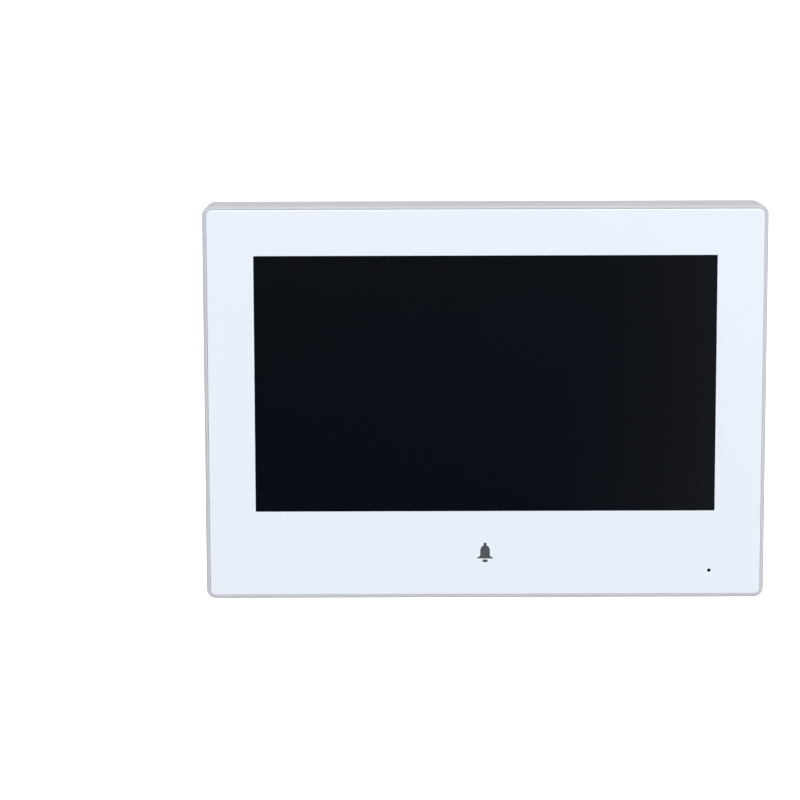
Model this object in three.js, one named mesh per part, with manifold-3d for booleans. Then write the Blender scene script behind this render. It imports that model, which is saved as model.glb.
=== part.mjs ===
// A wall-mounted video intercom monitor: flat screened front, slim two-part case, hook-on steel wall bracket.
// Millimetres. +X is to the right seen from the front, +Z is up, and the front faces -Y.
// The origin is on the bracket's back, so the wall is the plane Y = 0.
import * as THREE from "three";
import { mergeVertices } from "three/addons/utils/BufferGeometryUtils.js";
import Module from "manifold-3d";

// ---- Driving dimensions ----
const WIDTH = 189;
const HEIGHT = 133.5;
const DEPTH = 26;
const CORNER_RADIUS = 3.3;
const RIM = 1.4; // width of the frame's edge that shows round the front panel
const CLEARANCE = 0.3; // between neighbouring pieces
const SMALL_CLEARANCE = 0.1; // between layers that are pressed or glued together
const CASE_WALL = 2.2;

// The 7-inch screen: the part that lights up, and the clear window printed round it.
const WINDOW_WIDTH = 155;
const WINDOW_HEIGHT = 86.6;
const WINDOW_Z = 6.6;
const DISPLAY_WIDTH = 164.9;
const DISPLAY_TOP = 54.1;
const DISPLAY_BOTTOM = -44.9;

// Planes of the layers, from the wall forward.
const BRACKET_THICKNESS = 1.2;
const COVER_BACK = -2;
const COVER_INSIDE = -4;
const COVER_SHOULDER = -6; // where the straight sides turn in towards the back
const BOARD_BACK = -12;
const BOARD_FRONT = -13.6;
const STRAP_BACK = -16.4;
const SPLIT = -17; // joint line of the two case halves
const DISPLAY_BACK = -17.5;
const DISPLAY_FRONT = -20.7;
const WEB_BACK = -21.4;
const WEB_FRONT = -23.4;
const PANEL_BACK = -24;
const FRAME_FRONT = -25.6;
const PANEL_FRONT = -DEPTH;

// Points that several pieces share.
const MICROPHONE = { x: 75.9, z: -57.35, radius: 3, back: -14, front: -16.8 };
const BOOT_RADIUS = 3.7;
const SOUND_DUCT_RADIUS = 0.9; // through the rubber boot and the frame's web
const SPEAKER = { x: 66, z: -26, radius: 18 };
const CASE_SCREWS = [[-84, 58], [84, 58], [-84, -58], [84, -58]];
const BOARD_SCREWS = [[-72, 44], [40, 44], [-72, -56], [56, -57]];
const STRAP_X = 60;
const STRAP_ENDS = [59.5, -50.5];
const SPEAKER_EAR = 20.5; // from the speaker's middle to each ear's screw
const SPEAKER_FLANGE = { back: -5.2, front: -6.4 };

// Screws, and the round posts that they run into.
const SCREW = {
  headRadius: 2.4,
  headHeight: 1.3,
  shankRadius: 1,
  crossReach: 1.3,
  crossWidth: 0.55,
  crossDepth: 0.7,
};
const CASE_SCREW_SEAT = -9.9;
const CLEAR_HOLE = 1.5; // radius of the hole that a shank passes through
const PILOT_HOLE = 1.3; // radius of the hole that a shank's thread holds in
const WELL = { radius: 4.6, bore: 3, floor: -10 };
const BOARD_POST = { radius: 2.8, blindEnd: -5.5 };
const EAR_POST = { radius: 2.6, front: -4.9, blindEnd: -2.6 };
const CASE_POST_RADIUS = 3.2;
const STRAP_POST_RADIUS = 2.6;

// The bracket's four hooks: each neck comes out of the plate and its tongue points up.
const HOOK_X = 40;
const HOOK_NECKS = [24, -34]; // lower side of each neck
const HOOK_WIDTH = 9;
const HOOK_TONGUE = 5;
const LIFT = 7; // how far the monitor is lifted to come off the hooks

// The pocket in the back where the wires plug in.
const POCKET = { halfWidth: 30, bottom: -38, top: -4, floor: -9, wall: 2 };
const SOCKET_Z = -12;
const SOCKET_DEPTH = 5.8;
const SOCKET_HEIGHT = 6.2;
const SOCKET_WINDOW_WIDTH = 55; // the opening in the pocket's floor behind the row of sockets
const PIN_PITCH = 2.5;
const SWITCH_BLOCK = { x: -23, z: -29, width: 6.6, height: 9, back: -7.8 };
const SLIDER_TRAVEL = 2;
const RESET = { x: 23, z: -29 };
const RESET_TRAVEL = 0.4;
const RESET_BODY = 6; // side of the square push switch

// ---- Solids ----
const wasm = await Module();
wasm.setup();

function solidOf(geometry) {
  const bare = geometry.clone();
  bare.deleteAttribute("normal");
  bare.deleteAttribute("uv");
  const merged = mergeVertices(bare, 1e-4);
  return new wasm.Manifold(
    new wasm.Mesh({
      numProp: 3,
      vertProperties: merged.attributes.position.array,
      triVerts: new Uint32Array(merged.index.array),
    }),
  );
}

function geometryOf(solid) {
  const mesh = solid.getMesh();
  const geometry = new THREE.BufferGeometry();
  geometry.setAttribute("position", new THREE.BufferAttribute(mesh.vertProperties, 3));
  geometry.setIndex(new THREE.BufferAttribute(mesh.triVerts, 1));
  return geometry;
}

function join(first, ...others) {
  return geometryOf(others.reduce((sum, other) => sum.add(solidOf(other)), solidOf(first)));
}

function cut(body, ...tools) {
  return geometryOf(tools.reduce((left, tool) => left.subtract(solidOf(tool)), solidOf(body)));
}

function common(first, second) {
  return geometryOf(solidOf(first).intersect(solidOf(second)));
}

// ---- Shapes ----
// A rectangle with round corners, seen from the front: across is X and up is Z.
function roundedRectangle(width, height, radius, x = 0, z = 0) {
  const left = x - width / 2 + radius;
  const right = x + width / 2 - radius;
  const bottom = z - height / 2 + radius;
  const top = z + height / 2 - radius;
  const quarter = Math.PI / 2;
  const shape = new THREE.Shape();
  shape.absarc(right, bottom, radius, -quarter, 0);
  shape.absarc(right, top, radius, 0, quarter);
  shape.absarc(left, top, radius, quarter, 2 * quarter);
  shape.absarc(left, bottom, radius, 2 * quarter, 3 * quarter);
  shape.closePath();
  return shape;
}

// A shape seen from the front, made solid from the plane Y = back forward to Y = front.
function plate(shape, back, front, curveSegments = 4) {
  const geometry = new THREE.ExtrudeGeometry(shape, {
    depth: back - front,
    bevelEnabled: false,
    curveSegments,
  });
  geometry.rotateX(Math.PI / 2);
  geometry.translate(0, back, 0);
  return geometry;
}

// The same with a rounded or chamfered edge on its front, its back or both.
function edgedPlate(shape, back, front, edge) {
  const { deep, wide, steps, atFront = false, atBack = false } = edge;
  const spareFront = atFront ? 0 : deep;
  const spareBack = atBack ? 0 : deep;
  const geometry = new THREE.ExtrudeGeometry(shape, {
    depth: back - front + spareFront + spareBack - 2 * deep,
    bevelEnabled: true,
    bevelThickness: deep,
    bevelSize: wide,
    bevelOffset: -wide,
    bevelSegments: steps,
    curveSegments: 4,
  });
  geometry.rotateX(Math.PI / 2);
  geometry.translate(0, back + spareBack - deep, 0);
  return common(geometry, block([-WIDTH, WIDTH], [front, back], [-HEIGHT, HEIGHT]));
}

function block([x0, x1], [y0, y1], [z0, z1]) {
  const geometry = new THREE.BoxGeometry(x1 - x0, y1 - y0, z1 - z0);
  geometry.translate((x0 + x1) / 2, (y0 + y1) / 2, (z0 + z1) / 2);
  return geometry;
}

function blockAt(x, z, width, height, back, front) {
  return block([x - width / 2, x + width / 2], [front, back], [z - height / 2, z + height / 2]);
}

// A round bar along Y, from the plane Y = back forward to Y = front.
function bar(x, z, radius, back, front, sides = 20) {
  const geometry = new THREE.CylinderGeometry(radius, radius, back - front, sides);
  geometry.translate(x, (back + front) / 2, z);
  return geometry;
}

// A turned piece about an axis along Y: its profile is [radius, y] pairs.
function turned(profile, x, z, sides = 28) {
  const points = profile.map(([radius, y]) => new THREE.Vector2(radius, y));
  const geometry = new THREE.LatheGeometry(points, sides);
  geometry.translate(x, 0, z);
  return geometry;
}

// A side view in the YZ plane, made solid along X.
function sideExtrusion(points, xFrom, xTo) {
  const shape = new THREE.Shape(points.map(([y, z]) => new THREE.Vector2(y, z)));
  const geometry = new THREE.ExtrudeGeometry(shape, { depth: xTo - xFrom, bevelEnabled: false });
  geometry.applyMatrix4(new THREE.Matrix4().set(0, 0, 1, xFrom, 1, 0, 0, 0, 0, 1, 0, 0, 0, 0, 0, 1));
  return geometry;
}

// ---- Materials ----
const finish = (color, roughness, metalness = 0) => () =>
  new THREE.MeshStandardMaterial({ color, roughness, metalness });
const whitePanel = finish(0xecf3fc, 0.12);
const whiteCase = finish(0xd9dde2, 0.45);
const blackGlass = finish(0x0a0f14, 0.08);
const blackFoam = finish(0x1c1d1f, 0.95);
const blackPlastic = finish(0x17181a, 0.5);
const greyRubber = finish(0x4a4d52, 0.85);
const paleNylon = finish(0xe8e4d6, 0.5);
const steel = finish(0xb9bcc0, 0.35, 0.9);
const zincPlate = finish(0xc3c7c9, 0.42, 0.85);
const boardGreen = finish(0x14532f, 0.5);
const chipBlack = finish(0x1b1b1d, 0.6);
const flexAmber = finish(0xb5701d, 0.45);
const paper = finish(0x2a2a2c, 0.9);

// ---- The assembly ----
const monitor = new THREE.Group();

function add(name, geometry, material) {
  const mesh = new THREE.Mesh(geometry, material());
  mesh.name = name;
  monitor.add(mesh);
}

// A pan-head screw whose head is at the back and whose shank runs forward, or the other way round.
function addScrew(name, x, z, seat, length, towardsFront, headRadius = SCREW.headRadius) {
  const way = towardsFront ? -1 : 1;
  const headTop = seat - way * SCREW.headHeight;
  const tip = seat + way * length;
  const head = bar(x, z, headRadius, Math.max(seat, headTop), Math.min(seat, headTop), 16);
  const root = seat - way * 0.5; // inside the head
  const shank = bar(x, z, SCREW.shankRadius, Math.max(root, tip), Math.min(root, tip), 12);
  const reach = SCREW.crossReach;
  const half = SCREW.crossWidth / 2;
  const crossDepth = [headTop, headTop + way * SCREW.crossDepth].sort((a, b) => a - b);
  const crossX = block([x - reach, x + reach], crossDepth, [z - half, z + half]);
  const crossZ = block([x - half, x + half], crossDepth, [z - reach, z + reach]);
  add(name, cut(join(head, shank), crossX, crossZ), steel);
}

// ---- Wall bracket: one stamped and bent steel plate ----
const BRACKET = { width: 100, height: 92, radius: 4, z: -4 };
const WIRE_OPENING = { width: 56, height: 26, radius: 3, z: -21 };
const UPPER_OPENING = { width: 44, height: 22, radius: 3, z: 23 };
const SCREW_SLOT = { length: 9, height: 4.6 };
const HOOK_WINDOW_HEIGHT = 9;
const WALL_BOX_SPACING = 60;
const PLUG_SLOT_X = 28;
const PLUG_SLOT_ZS = [37, -45];

function screwSlot(x, z) {
  return roundedRectangle(SCREW_SLOT.length, SCREW_SLOT.height, SCREW_SLOT.height / 2 - 0.01, x, z);
}

function wallBracket() {
  const centred = ({ width, height, radius, z }) => roundedRectangle(width, height, radius, 0, z);
  const outline = centred(BRACKET);
  const openings = [centred(WIRE_OPENING), centred(UPPER_OPENING)];
  for (const side of [-1, 1]) {
    // Slots for a wall box with 60 mm between its screws, and slots for wall plugs above and below it.
    openings.push(screwSlot(WALL_BOX_SPACING / 2 * side, 0));
    for (const z of PLUG_SLOT_ZS) openings.push(screwSlot(PLUG_SLOT_X * side, z));
    // The window that each hook was bent out of.
    for (const neck of HOOK_NECKS) {
      const middle = neck + BRACKET_THICKNESS + HOOK_WINDOW_HEIGHT / 2;
      openings.push(roundedRectangle(HOOK_WIDTH + 1, HOOK_WINDOW_HEIGHT, 0.6, HOOK_X * side, middle));
    }
  }
  outline.holes.push(...openings);
  const tongueBack = COVER_INSIDE - CLEARANCE;
  const tongueFront = tongueBack - BRACKET_THICKNESS;
  const hooks = [];
  for (const side of [-1, 1]) {
    for (const neck of HOOK_NECKS) {
      const across = [side * HOOK_X - HOOK_WIDTH / 2, side * HOOK_X + HOOK_WIDTH / 2];
      hooks.push(block(across, [tongueFront, -0.4], [neck, neck + BRACKET_THICKNESS]));
      const tongueTip = neck + BRACKET_THICKNESS + HOOK_TONGUE;
      hooks.push(block(across, [tongueFront, tongueBack], [neck + 0.3, tongueTip]));
    }
  }
  return join(plate(outline, 0, -BRACKET_THICKNESS, 3), ...hooks);
}
add("wall_bracket", wallBracket(), zincPlate);

// ---- Rear cover: moulded tray with the wire pocket, hook slots, vents and screw wells ----
function caseShape(inset) {
  return roundedRectangle(WIDTH - 2 * inset, HEIGHT - 2 * inset, Math.max(CORNER_RADIUS - inset, 0.8));
}

// The slots go right through the back wall. The vents are two rows, and the speaker's fill a circle.
const SLOT = { pitch: 4, width: 1.8 };
const VENTS = { x: 52, z: 54, height: 9, count: 13 };
const GRILLE = { radius: 14, rows: 7 };
const LOWER_SLOTS = { pitch: 5, width: 2, count: 13, back: -7.5, front: -13 };
const RATING_RECESS = { x: -70, z: 4, width: 30, height: 44, radius: 1, deep: 0.4 };

function spread(count, pitch) {
  return Array.from({ length: count }, (_, i) => (i - (count - 1) / 2) * pitch);
}

function ventRow(x) {
  return spread(VENTS.count, SLOT.pitch).map((along) =>
    blockAt(x + along, VENTS.z, SLOT.width, VENTS.height, COVER_BACK + 1, COVER_INSIDE - 1),
  );
}

function speakerSlots() {
  return spread(GRILLE.rows, SLOT.pitch).map((up) => {
    const length = 2 * Math.sqrt(GRILLE.radius ** 2 - up ** 2);
    return blockAt(SPEAKER.x, SPEAKER.z + up, length, SLOT.width, COVER_BACK + 1, COVER_INSIDE - 1);
  });
}

function ratingRecess() {
  const { x, z, width, height, radius, deep } = RATING_RECESS;
  return plate(roundedRectangle(width, height, radius, x, z), COVER_BACK + 1, COVER_BACK - deep);
}

function rearCover() {
  const { halfWidth, bottom, top, floor, wall } = POCKET;
  const shoulder = { deep: COVER_BACK - COVER_SHOULDER, wide: 3, steps: 2, atBack: true };
  const innerShoulder = { ...shoulder, deep: 3.4 };
  const outside = edgedPlate(caseShape(0), COVER_BACK, SPLIT + SMALL_CLEARANCE, shoulder);
  const innerWidth = WIDTH - 2 * CASE_WALL;
  const innerHeight = HEIGHT - 2 * CASE_WALL;
  const innerShape = roundedRectangle(innerWidth, innerHeight, CORNER_RADIUS);
  const inside = edgedPlate(innerShape, COVER_INSIDE, SPLIT - 1, innerShoulder);
  const wells = CASE_SCREWS.map(([x, z]) => bar(x, z, WELL.radius, COVER_INSIDE + 1, BOARD_BACK));
  const boardPosts = BOARD_SCREWS.map(([x, z]) =>
    bar(x, z, BOARD_POST.radius, COVER_INSIDE + 1, BOARD_BACK + CLEARANCE, 16),
  );
  const earZs = [-1, 1].map((side) => SPEAKER.z + side * SPEAKER_EAR);
  const earPosts = earZs.map((z) =>
    bar(SPEAKER.x, z, EAR_POST.radius, COVER_INSIDE + 1, EAR_POST.front, 16),
  );
  const pocketWalls = block(
    [-halfWidth - wall, halfWidth + wall],
    [floor - wall, COVER_INSIDE + 1],
    [bottom - wall, top + wall],
  );
  const pocket = block([-halfWidth, halfWidth], [floor, COVER_BACK + 1], [bottom, top]);
  const switchWidth = SWITCH_BLOCK.width + 2 * CLEARANCE;
  const switchHeight = SWITCH_BLOCK.height + 2 * CLEARANCE;
  const holes = [
    ...CASE_SCREWS.map(([x, z]) => bar(x, z, WELL.bore, COVER_BACK + 1, WELL.floor)),
    ...CASE_SCREWS.map(([x, z]) => bar(x, z, CLEAR_HOLE, COVER_BACK, BOARD_BACK - 1, 12)),
    ...BOARD_SCREWS.map(([x, z]) => bar(x, z, PILOT_HOLE, BOARD_POST.blindEnd, BOARD_BACK - 1, 12)),
    ...earZs.map((z) => bar(SPEAKER.x, z, PILOT_HOLE, EAR_POST.blindEnd, COVER_INSIDE - 2, 12)),
    // Windows in the pocket's floor for the sockets, the switch block and the reset key.
    blockAt(0, SOCKET_Z, SOCKET_WINDOW_WIDTH, SOCKET_DEPTH + 1.4, floor + 1, floor - wall - 1),
    blockAt(SWITCH_BLOCK.x, SWITCH_BLOCK.z, switchWidth, switchHeight, floor + 1, floor - wall - 1),
    bar(RESET.x, RESET.z, 2.1, floor + 1, floor - wall - 1, 20),
    blockAt(RESET.x, RESET.z, RESET_BODY + 0.8, RESET_BODY + 0.8, floor - 0.6, floor - wall - 1),
    ratingRecess(),
    ...ventRow(-VENTS.x),
    ...ventRow(VENTS.x),
    ...speakerSlots(),
  ];
  for (const side of [-1, 1]) {
    for (const neck of HOOK_NECKS) {
      const slotTop = neck + BRACKET_THICKNESS + CLEARANCE;
      const slotBottom = neck - LIFT - 0.5;
      const half = HOOK_WIDTH / 2 + 1;
      const across = [side * HOOK_X - half, side * HOOK_X + half];
      holes.push(block(across, [COVER_INSIDE - 1, COVER_BACK + 1], [slotBottom, slotTop]));
    }
  }
  // Slots in the lower side let the warm air in.
  for (const x of spread(LOWER_SLOTS.count, LOWER_SLOTS.pitch)) {
    const across = [x - LOWER_SLOTS.width / 2, x + LOWER_SLOTS.width / 2];
    const throughWall = [-HEIGHT / 2 - 1, -HEIGHT / 2 + CASE_WALL + 1.2];
    holes.push(block(across, [LOWER_SLOTS.front, LOWER_SLOTS.back], throughWall));
  }
  const shell = cut(outside, inside);
  return cut(cut(join(shell, ...wells, ...boardPosts, ...earPosts, pocketWalls), pocket), ...holes);
}
add("rear_cover", rearCover(), whiteCase);

// ---- Front frame: the moulded edge round the panel, and the web that the layers are built on ----
function frontFrame() {
  const edge = { deep: 1.1, wide: 1.1, steps: 3, atFront: true };
  const outside = edgedPlate(caseShape(0), SPLIT, FRAME_FRONT, edge);
  const panelSeat = plate(caseShape(RIM - 0.15), WEB_FRONT, FRAME_FRONT - 1);
  const window = roundedRectangle(WINDOW_WIDTH + 3, WINDOW_HEIGHT + 3, 1, 0, WINDOW_Z);
  const hollow = plate(caseShape(CASE_WALL), SPLIT + 1, WEB_BACK);
  const strapPlaces = [-STRAP_X, STRAP_X].flatMap((x) => STRAP_ENDS.map((z) => [x, z]));
  const casePosts = CASE_SCREWS.map(([x, z]) =>
    bar(x, z, CASE_POST_RADIUS, BOARD_BACK - CLEARANCE, WEB_BACK - 1),
  );
  const strapPosts = strapPlaces.map(([x, z]) =>
    bar(x, z, STRAP_POST_RADIUS, DISPLAY_BACK, WEB_BACK - 1, 16),
  );
  const microphoneRing = bar(MICROPHONE.x, MICROPHONE.z, 5.2, DISPLAY_BACK, WEB_BACK - 1);
  const holes = [
    plate(window, WEB_BACK + 1, WEB_FRONT - 1),
    ...CASE_SCREWS.map(([x, z]) => bar(x, z, PILOT_HOLE, BOARD_BACK, DISPLAY_BACK - 1.5, 12)),
    ...strapPlaces.map(([x, z]) => bar(x, z, PILOT_HOLE, DISPLAY_BACK + 1, WEB_BACK - 0.2, 12)),
    bar(MICROPHONE.x, MICROPHONE.z, BOOT_RADIUS + 0.2, DISPLAY_BACK + 1, WEB_BACK),
    bar(MICROPHONE.x, MICROPHONE.z, SOUND_DUCT_RADIUS, WEB_BACK + 1, WEB_FRONT - 1, 12),
  ];
  const shell = cut(outside, panelSeat, hollow);
  return cut(join(shell, ...casePosts, ...strapPosts, microphoneRing), ...holes);
}
add("front_frame", frontFrame(), whiteCase);

// ---- Front panel and what is glued to its back ----
function frontPanel() {
  const edge = { deep: 0.35, wide: 0.35, steps: 2, atFront: true };
  const glass = edgedPlate(caseShape(RIM), PANEL_BACK, PANEL_FRONT, edge);
  const soundHole = bar(MICROPHONE.x, MICROPHONE.z, 0.6, PANEL_BACK + 1, PANEL_FRONT - 1, 16);
  return cut(glass, soundHole);
}
add("front_panel", frontPanel(), whitePanel);

function ring(outer, inner, back, front) {
  outer.holes.push(inner);
  return plate(outer, back, front, 3);
}
const tapeOutline = caseShape(RIM + 1);
const tapeWindow = roundedRectangle(WINDOW_WIDTH + 4, WINDOW_HEIGHT + 4, 1, 0, WINDOW_Z);
const tapeHole = bar(MICROPHONE.x, MICROPHONE.z, 1.5, PANEL_BACK + 1, WEB_FRONT - 1, 12);
const tapeBack = WEB_FRONT - SMALL_CLEARANCE;
const tapeFront = PANEL_BACK + SMALL_CLEARANCE;
add("panel_tape", cut(ring(tapeOutline, tapeWindow, tapeBack, tapeFront), tapeHole), blackFoam);

const sensor = roundedRectangle(WINDOW_WIDTH + 2, WINDOW_HEIGHT + 2, 0.6, 0, WINDOW_Z);
add("touch_sensor", plate(sensor, PANEL_BACK + 1.1, tapeFront), blackGlass);

// ---- Display: foam seal, glass cell, backlight tray and the two straps that hold it ----
const sealOuter = roundedRectangle(WINDOW_WIDTH + 7, WINDOW_HEIGHT + 7, 1, 0, WINDOW_Z);
const sealInner = roundedRectangle(WINDOW_WIDTH + 1, WINDOW_HEIGHT + 1, 1, 0, WINDOW_Z);
const sealBack = DISPLAY_FRONT - SMALL_CLEARANCE;
const sealFront = WEB_BACK + SMALL_CLEARANCE;
add("display_seal", ring(sealOuter, sealInner, sealBack, sealFront), blackFoam);

const CELL_THICKNESS = 1.4;
const cellWidth = WINDOW_WIDTH + 6;
const cellHeight = WINDOW_HEIGHT + 6.4;
add(
  "lcd_panel",
  blockAt(0, WINDOW_Z, cellWidth, cellHeight, DISPLAY_FRONT + CELL_THICKNESS, DISPLAY_FRONT),
  blackGlass,
);

function backlightTray() {
  const halfWidth = DISPLAY_WIDTH / 2;
  const tray = block([-halfWidth, halfWidth], [DISPLAY_FRONT, DISPLAY_BACK], [DISPLAY_BOTTOM, DISPLAY_TOP]);
  const seatBack = DISPLAY_FRONT + CELL_THICKNESS + CLEARANCE;
  const seatWidth = cellWidth + 2 * CLEARANCE;
  const seatHeight = cellHeight + 2 * CLEARANCE;
  const seat = blockAt(0, WINDOW_Z, seatWidth, seatHeight, seatBack, DISPLAY_FRONT - 1);
  return cut(tray, seat);
}
add("backlight_tray", backlightTray(), steel);

const STRAP_WIDTH = 10;
const STRAP_THICKNESS = 0.8;
const STRAP_SCREW_LENGTH = 4.4;
const strapMiddle = (STRAP_ENDS[0] + STRAP_ENDS[1]) / 2;
const strapLength = STRAP_ENDS[0] - STRAP_ENDS[1] + 7;
for (const [side, word] of [[-1, "left"], [1, "right"]]) {
  const x = side * STRAP_X;
  const outline = roundedRectangle(STRAP_WIDTH, strapLength, 2, x, strapMiddle);
  const strap = plate(outline, STRAP_BACK, STRAP_BACK - STRAP_THICKNESS, 3);
  const holes = STRAP_ENDS.map((z) => bar(x, z, CLEAR_HOLE, STRAP_BACK + 1, STRAP_BACK - 2, 12));
  add("display_strap_" + word, cut(strap, ...holes), zincPlate);
  STRAP_ENDS.forEach((z, i) => {
    const place = i === 0 ? "top" : "bottom";
    const seat = STRAP_BACK + SMALL_CLEARANCE;
    addScrew("strap_screw_" + word + "_" + place, x, z, seat, STRAP_SCREW_LENGTH, true);
  });
}

// The ribbon leaves the display's lower edge, turns back and goes up to its connector on the board.
const RIBBON = { width: 44, thickness: 0.3, boardSide: -15.4 };
const CONNECTOR = { width: 50, height: 5, z: -36.5, front: -15.9 };
// Its side view, as [y, z] corners: down round the outside of the bend, and back inside it.
const ribbonOuter = [
  [-19.4, -45.2], [-19.4, -47.2], [-18.4, -48.4],
  [-16.6, -48.4], [-15.4, -47.2], [-15.4, -37.4],
];
const ribbonInner = [
  [-15.7, -37.4], [-15.7, -47.1], [-16.7, -48.1],
  [-18.3, -48.1], [-19.1, -47.1], [-19.1, -45.2],
];
const ribbonFront = RIBBON.boardSide - RIBBON.thickness;
const ribbonEndZ = CONNECTOR.z - 1.7;
const ribbonSide = [...ribbonOuter, ...ribbonInner];
add("display_ribbon", sideExtrusion(ribbonSide, -RIBBON.width / 2, RIBBON.width / 2), flexAmber);
const { z: connectorZ, width: connectorWidth, height: connectorHeight } = CONNECTOR;
const connectorFront = CONNECTOR.front;
const connectorBack = BOARD_FRONT - SMALL_CLEARANCE;
const connectorBody = blockAt(0, connectorZ, connectorWidth, connectorHeight, connectorBack, connectorFront);
const ribbonRoom = [RIBBON.boardSide + CLEARANCE, ribbonFront - CLEARANCE];
const connectorMouth = blockAt(0, ribbonEndZ, RIBBON.width + 1, 2.6, ...ribbonRoom);
add("display_connector", cut(connectorBody, connectorMouth), paleNylon);

// ---- Main board and what is soldered on it ----
function mainBoard() {
  const shape = new THREE.Shape();
  const corners = [[-78, -62.5], [79, -62.5], [79, -50.5], [46, -50.5], [46, 50], [-78, 50]];
  corners.forEach(([x, z], i) => (i ? shape.lineTo(x, z) : shape.moveTo(x, z)));
  shape.closePath();
  const holes = BOARD_SCREWS.map(([x, z]) => bar(x, z, 1.5, BOARD_BACK + 1, BOARD_FRONT - 1, 12));
  return cut(plate(shape, BOARD_BACK, BOARD_FRONT), ...holes);
}
add("main_board", mainBoard(), boardGreen);

const SOLDER = BOARD_BACK + SMALL_CLEARANCE;
const SHIELD = { x: -52, z: 14, width: 30, height: 26, rise: 3, sheet: 0.4 };
function shieldCan() {
  const { x, z, width, height, rise, sheet } = SHIELD;
  const can = blockAt(x, z, width, height, SOLDER + rise, SOLDER);
  return cut(can, blockAt(x, z, width - 2 * sheet, height - 2 * sheet, SOLDER + rise - sheet, SOLDER - 1));
}
add("processor_shield", shieldCan(), zincPlate);

// Flat chips: middle, width and height across the board, and how far each stands off it.
const CHIPS = {
  processor: { x: SHIELD.x, z: SHIELD.z, width: 15, height: 15, rise: 1.3 },
  memory_chip: { x: -24, z: 20, width: 10, height: 8, rise: 1 },
  video_decoder: { x: -6, z: 20, width: 9, height: 9, rise: 1 },
  audio_amplifier: { x: 30, z: -50, width: 6, height: 5, rise: 1.2 },
};
for (const [name, { x, z, width, height, rise }] of Object.entries(CHIPS)) {
  add(name, blockAt(x, z, width, height, SOLDER + rise, SOLDER), chipBlack);
}

const COIL = { x: 12, z: 22, side: 8, radius: 1.5, rise: 4 };
const coilOutline = roundedRectangle(COIL.side, COIL.side, COIL.radius, COIL.x, COIL.z);
add("power_coil", plate(coilOutline, SOLDER + COIL.rise, SOLDER), chipBlack);
const CAPACITOR = { x: 24, zs: [22, 12], radius: 3.15, rise: 5.4 };
CAPACITOR.zs.forEach((z, i) => {
  const can = bar(CAPACITOR.x, z, CAPACITOR.radius, SOLDER + CAPACITOR.rise, SOLDER, 18);
  add("capacitor_" + (i + 1), can, steel);
});

// Each wire socket is an open shroud with its pins standing inside.
const SHROUD_WALL = 0.8;
const PIN_SIDE = 0.64;
function wireSocket(x, pins) {
  const width = (pins - 1) * PIN_PITCH + 4.9;
  const hollowDepth = SOCKET_DEPTH - 2 * SHROUD_WALL;
  const top = SOLDER + SOCKET_HEIGHT;
  const shroud = blockAt(x, SOCKET_Z, width, SOCKET_DEPTH, top, SOLDER);
  const hollow = blockAt(x, SOCKET_Z, width - 2 * SHROUD_WALL, hollowDepth, top + 1, SOLDER + 1.6);
  const keyways = [-1, 1].map((side) =>
    blockAt(x + (side * PIN_PITCH) / 2, SOCKET_Z - SOCKET_DEPTH / 2, 1, 2, top + 1, top - 3),
  );
  const posts = [];
  for (let i = 0; i < pins; i++) {
    const across = x + (i - (pins - 1) / 2) * PIN_PITCH;
    posts.push(blockAt(across, SOCKET_Z, PIN_SIDE, PIN_SIDE, top - 0.8, SOLDER + 1));
  }
  return join(cut(shroud, hollow, ...keyways), ...posts);
}
add("door_socket_1", wireSocket(-20.2, 4), paleNylon);
add("door_socket_2", wireSocket(-5.8, 4), paleNylon);
add("extension_socket", wireSocket(8.6, 4), paleNylon);
add("power_socket", wireSocket(20.5, 2), paleNylon);

// Two-way selector: each slider runs in its own slot in the switch block.
const SLIDER = { pitch: 2.8, width: 1.2, height: 1.6 };
const sliderXs = [-1, 1].map((side) => SWITCH_BLOCK.x + (side * SLIDER.pitch) / 2);
function switchBlock() {
  const { x, z, width, height, back } = SWITCH_BLOCK;
  const body = blockAt(x, z, width, height, back, SOLDER);
  const slotWidth = SLIDER.width + 2 * CLEARANCE;
  const slotHeight = SLIDER.height + SLIDER_TRAVEL + 2 * CLEARANCE;
  const slots = sliderXs.map((sx) => blockAt(sx, z, slotWidth, slotHeight, back + 1, back - 1.6));
  return cut(body, ...slots);
}
add("selector_block", switchBlock(), blackPlastic);
sliderXs.forEach((x, i) => {
  const z = SWITCH_BLOCK.z - SLIDER_TRAVEL / 2;
  const { width, height } = SLIDER;
  const slider = blockAt(x, z, width, height, SWITCH_BLOCK.back + 0.9, SWITCH_BLOCK.back - 1.3);
  add("selector_slider_" + (i + 1), slider, paleNylon);
});

// Reset: a small push switch on the board, and the plunger that is pressed through the pocket's floor.
const RESET_SEAT = SOLDER + 0.8; // floor of the well that the key is pressed into
const RESET_KEY_RADIUS = 1.6;
function resetSwitch() {
  const body = blockAt(RESET.x, RESET.z, RESET_BODY, RESET_BODY, SOLDER + 2, SOLDER);
  return cut(body, bar(RESET.x, RESET.z, RESET_KEY_RADIUS + CLEARANCE, SOLDER + 3, RESET_SEAT, 20));
}
add("reset_switch", resetSwitch(), steel);
const keyFront = RESET_SEAT + RESET_TRAVEL + SMALL_CLEARANCE;
const keyBack = POCKET.floor - CLEARANCE;
add("reset_key", bar(RESET.x, RESET.z, RESET_KEY_RADIUS, keyBack, keyFront, 20), blackPlastic);

const BOARD_SCREW_LENGTH = 6.5;

BOARD_SCREWS.forEach(([x, z], i) => {
  addScrew("board_screw_" + (i + 1), x, z, BOARD_FRONT - SMALL_CLEARANCE, BOARD_SCREW_LENGTH, false);
});

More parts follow.
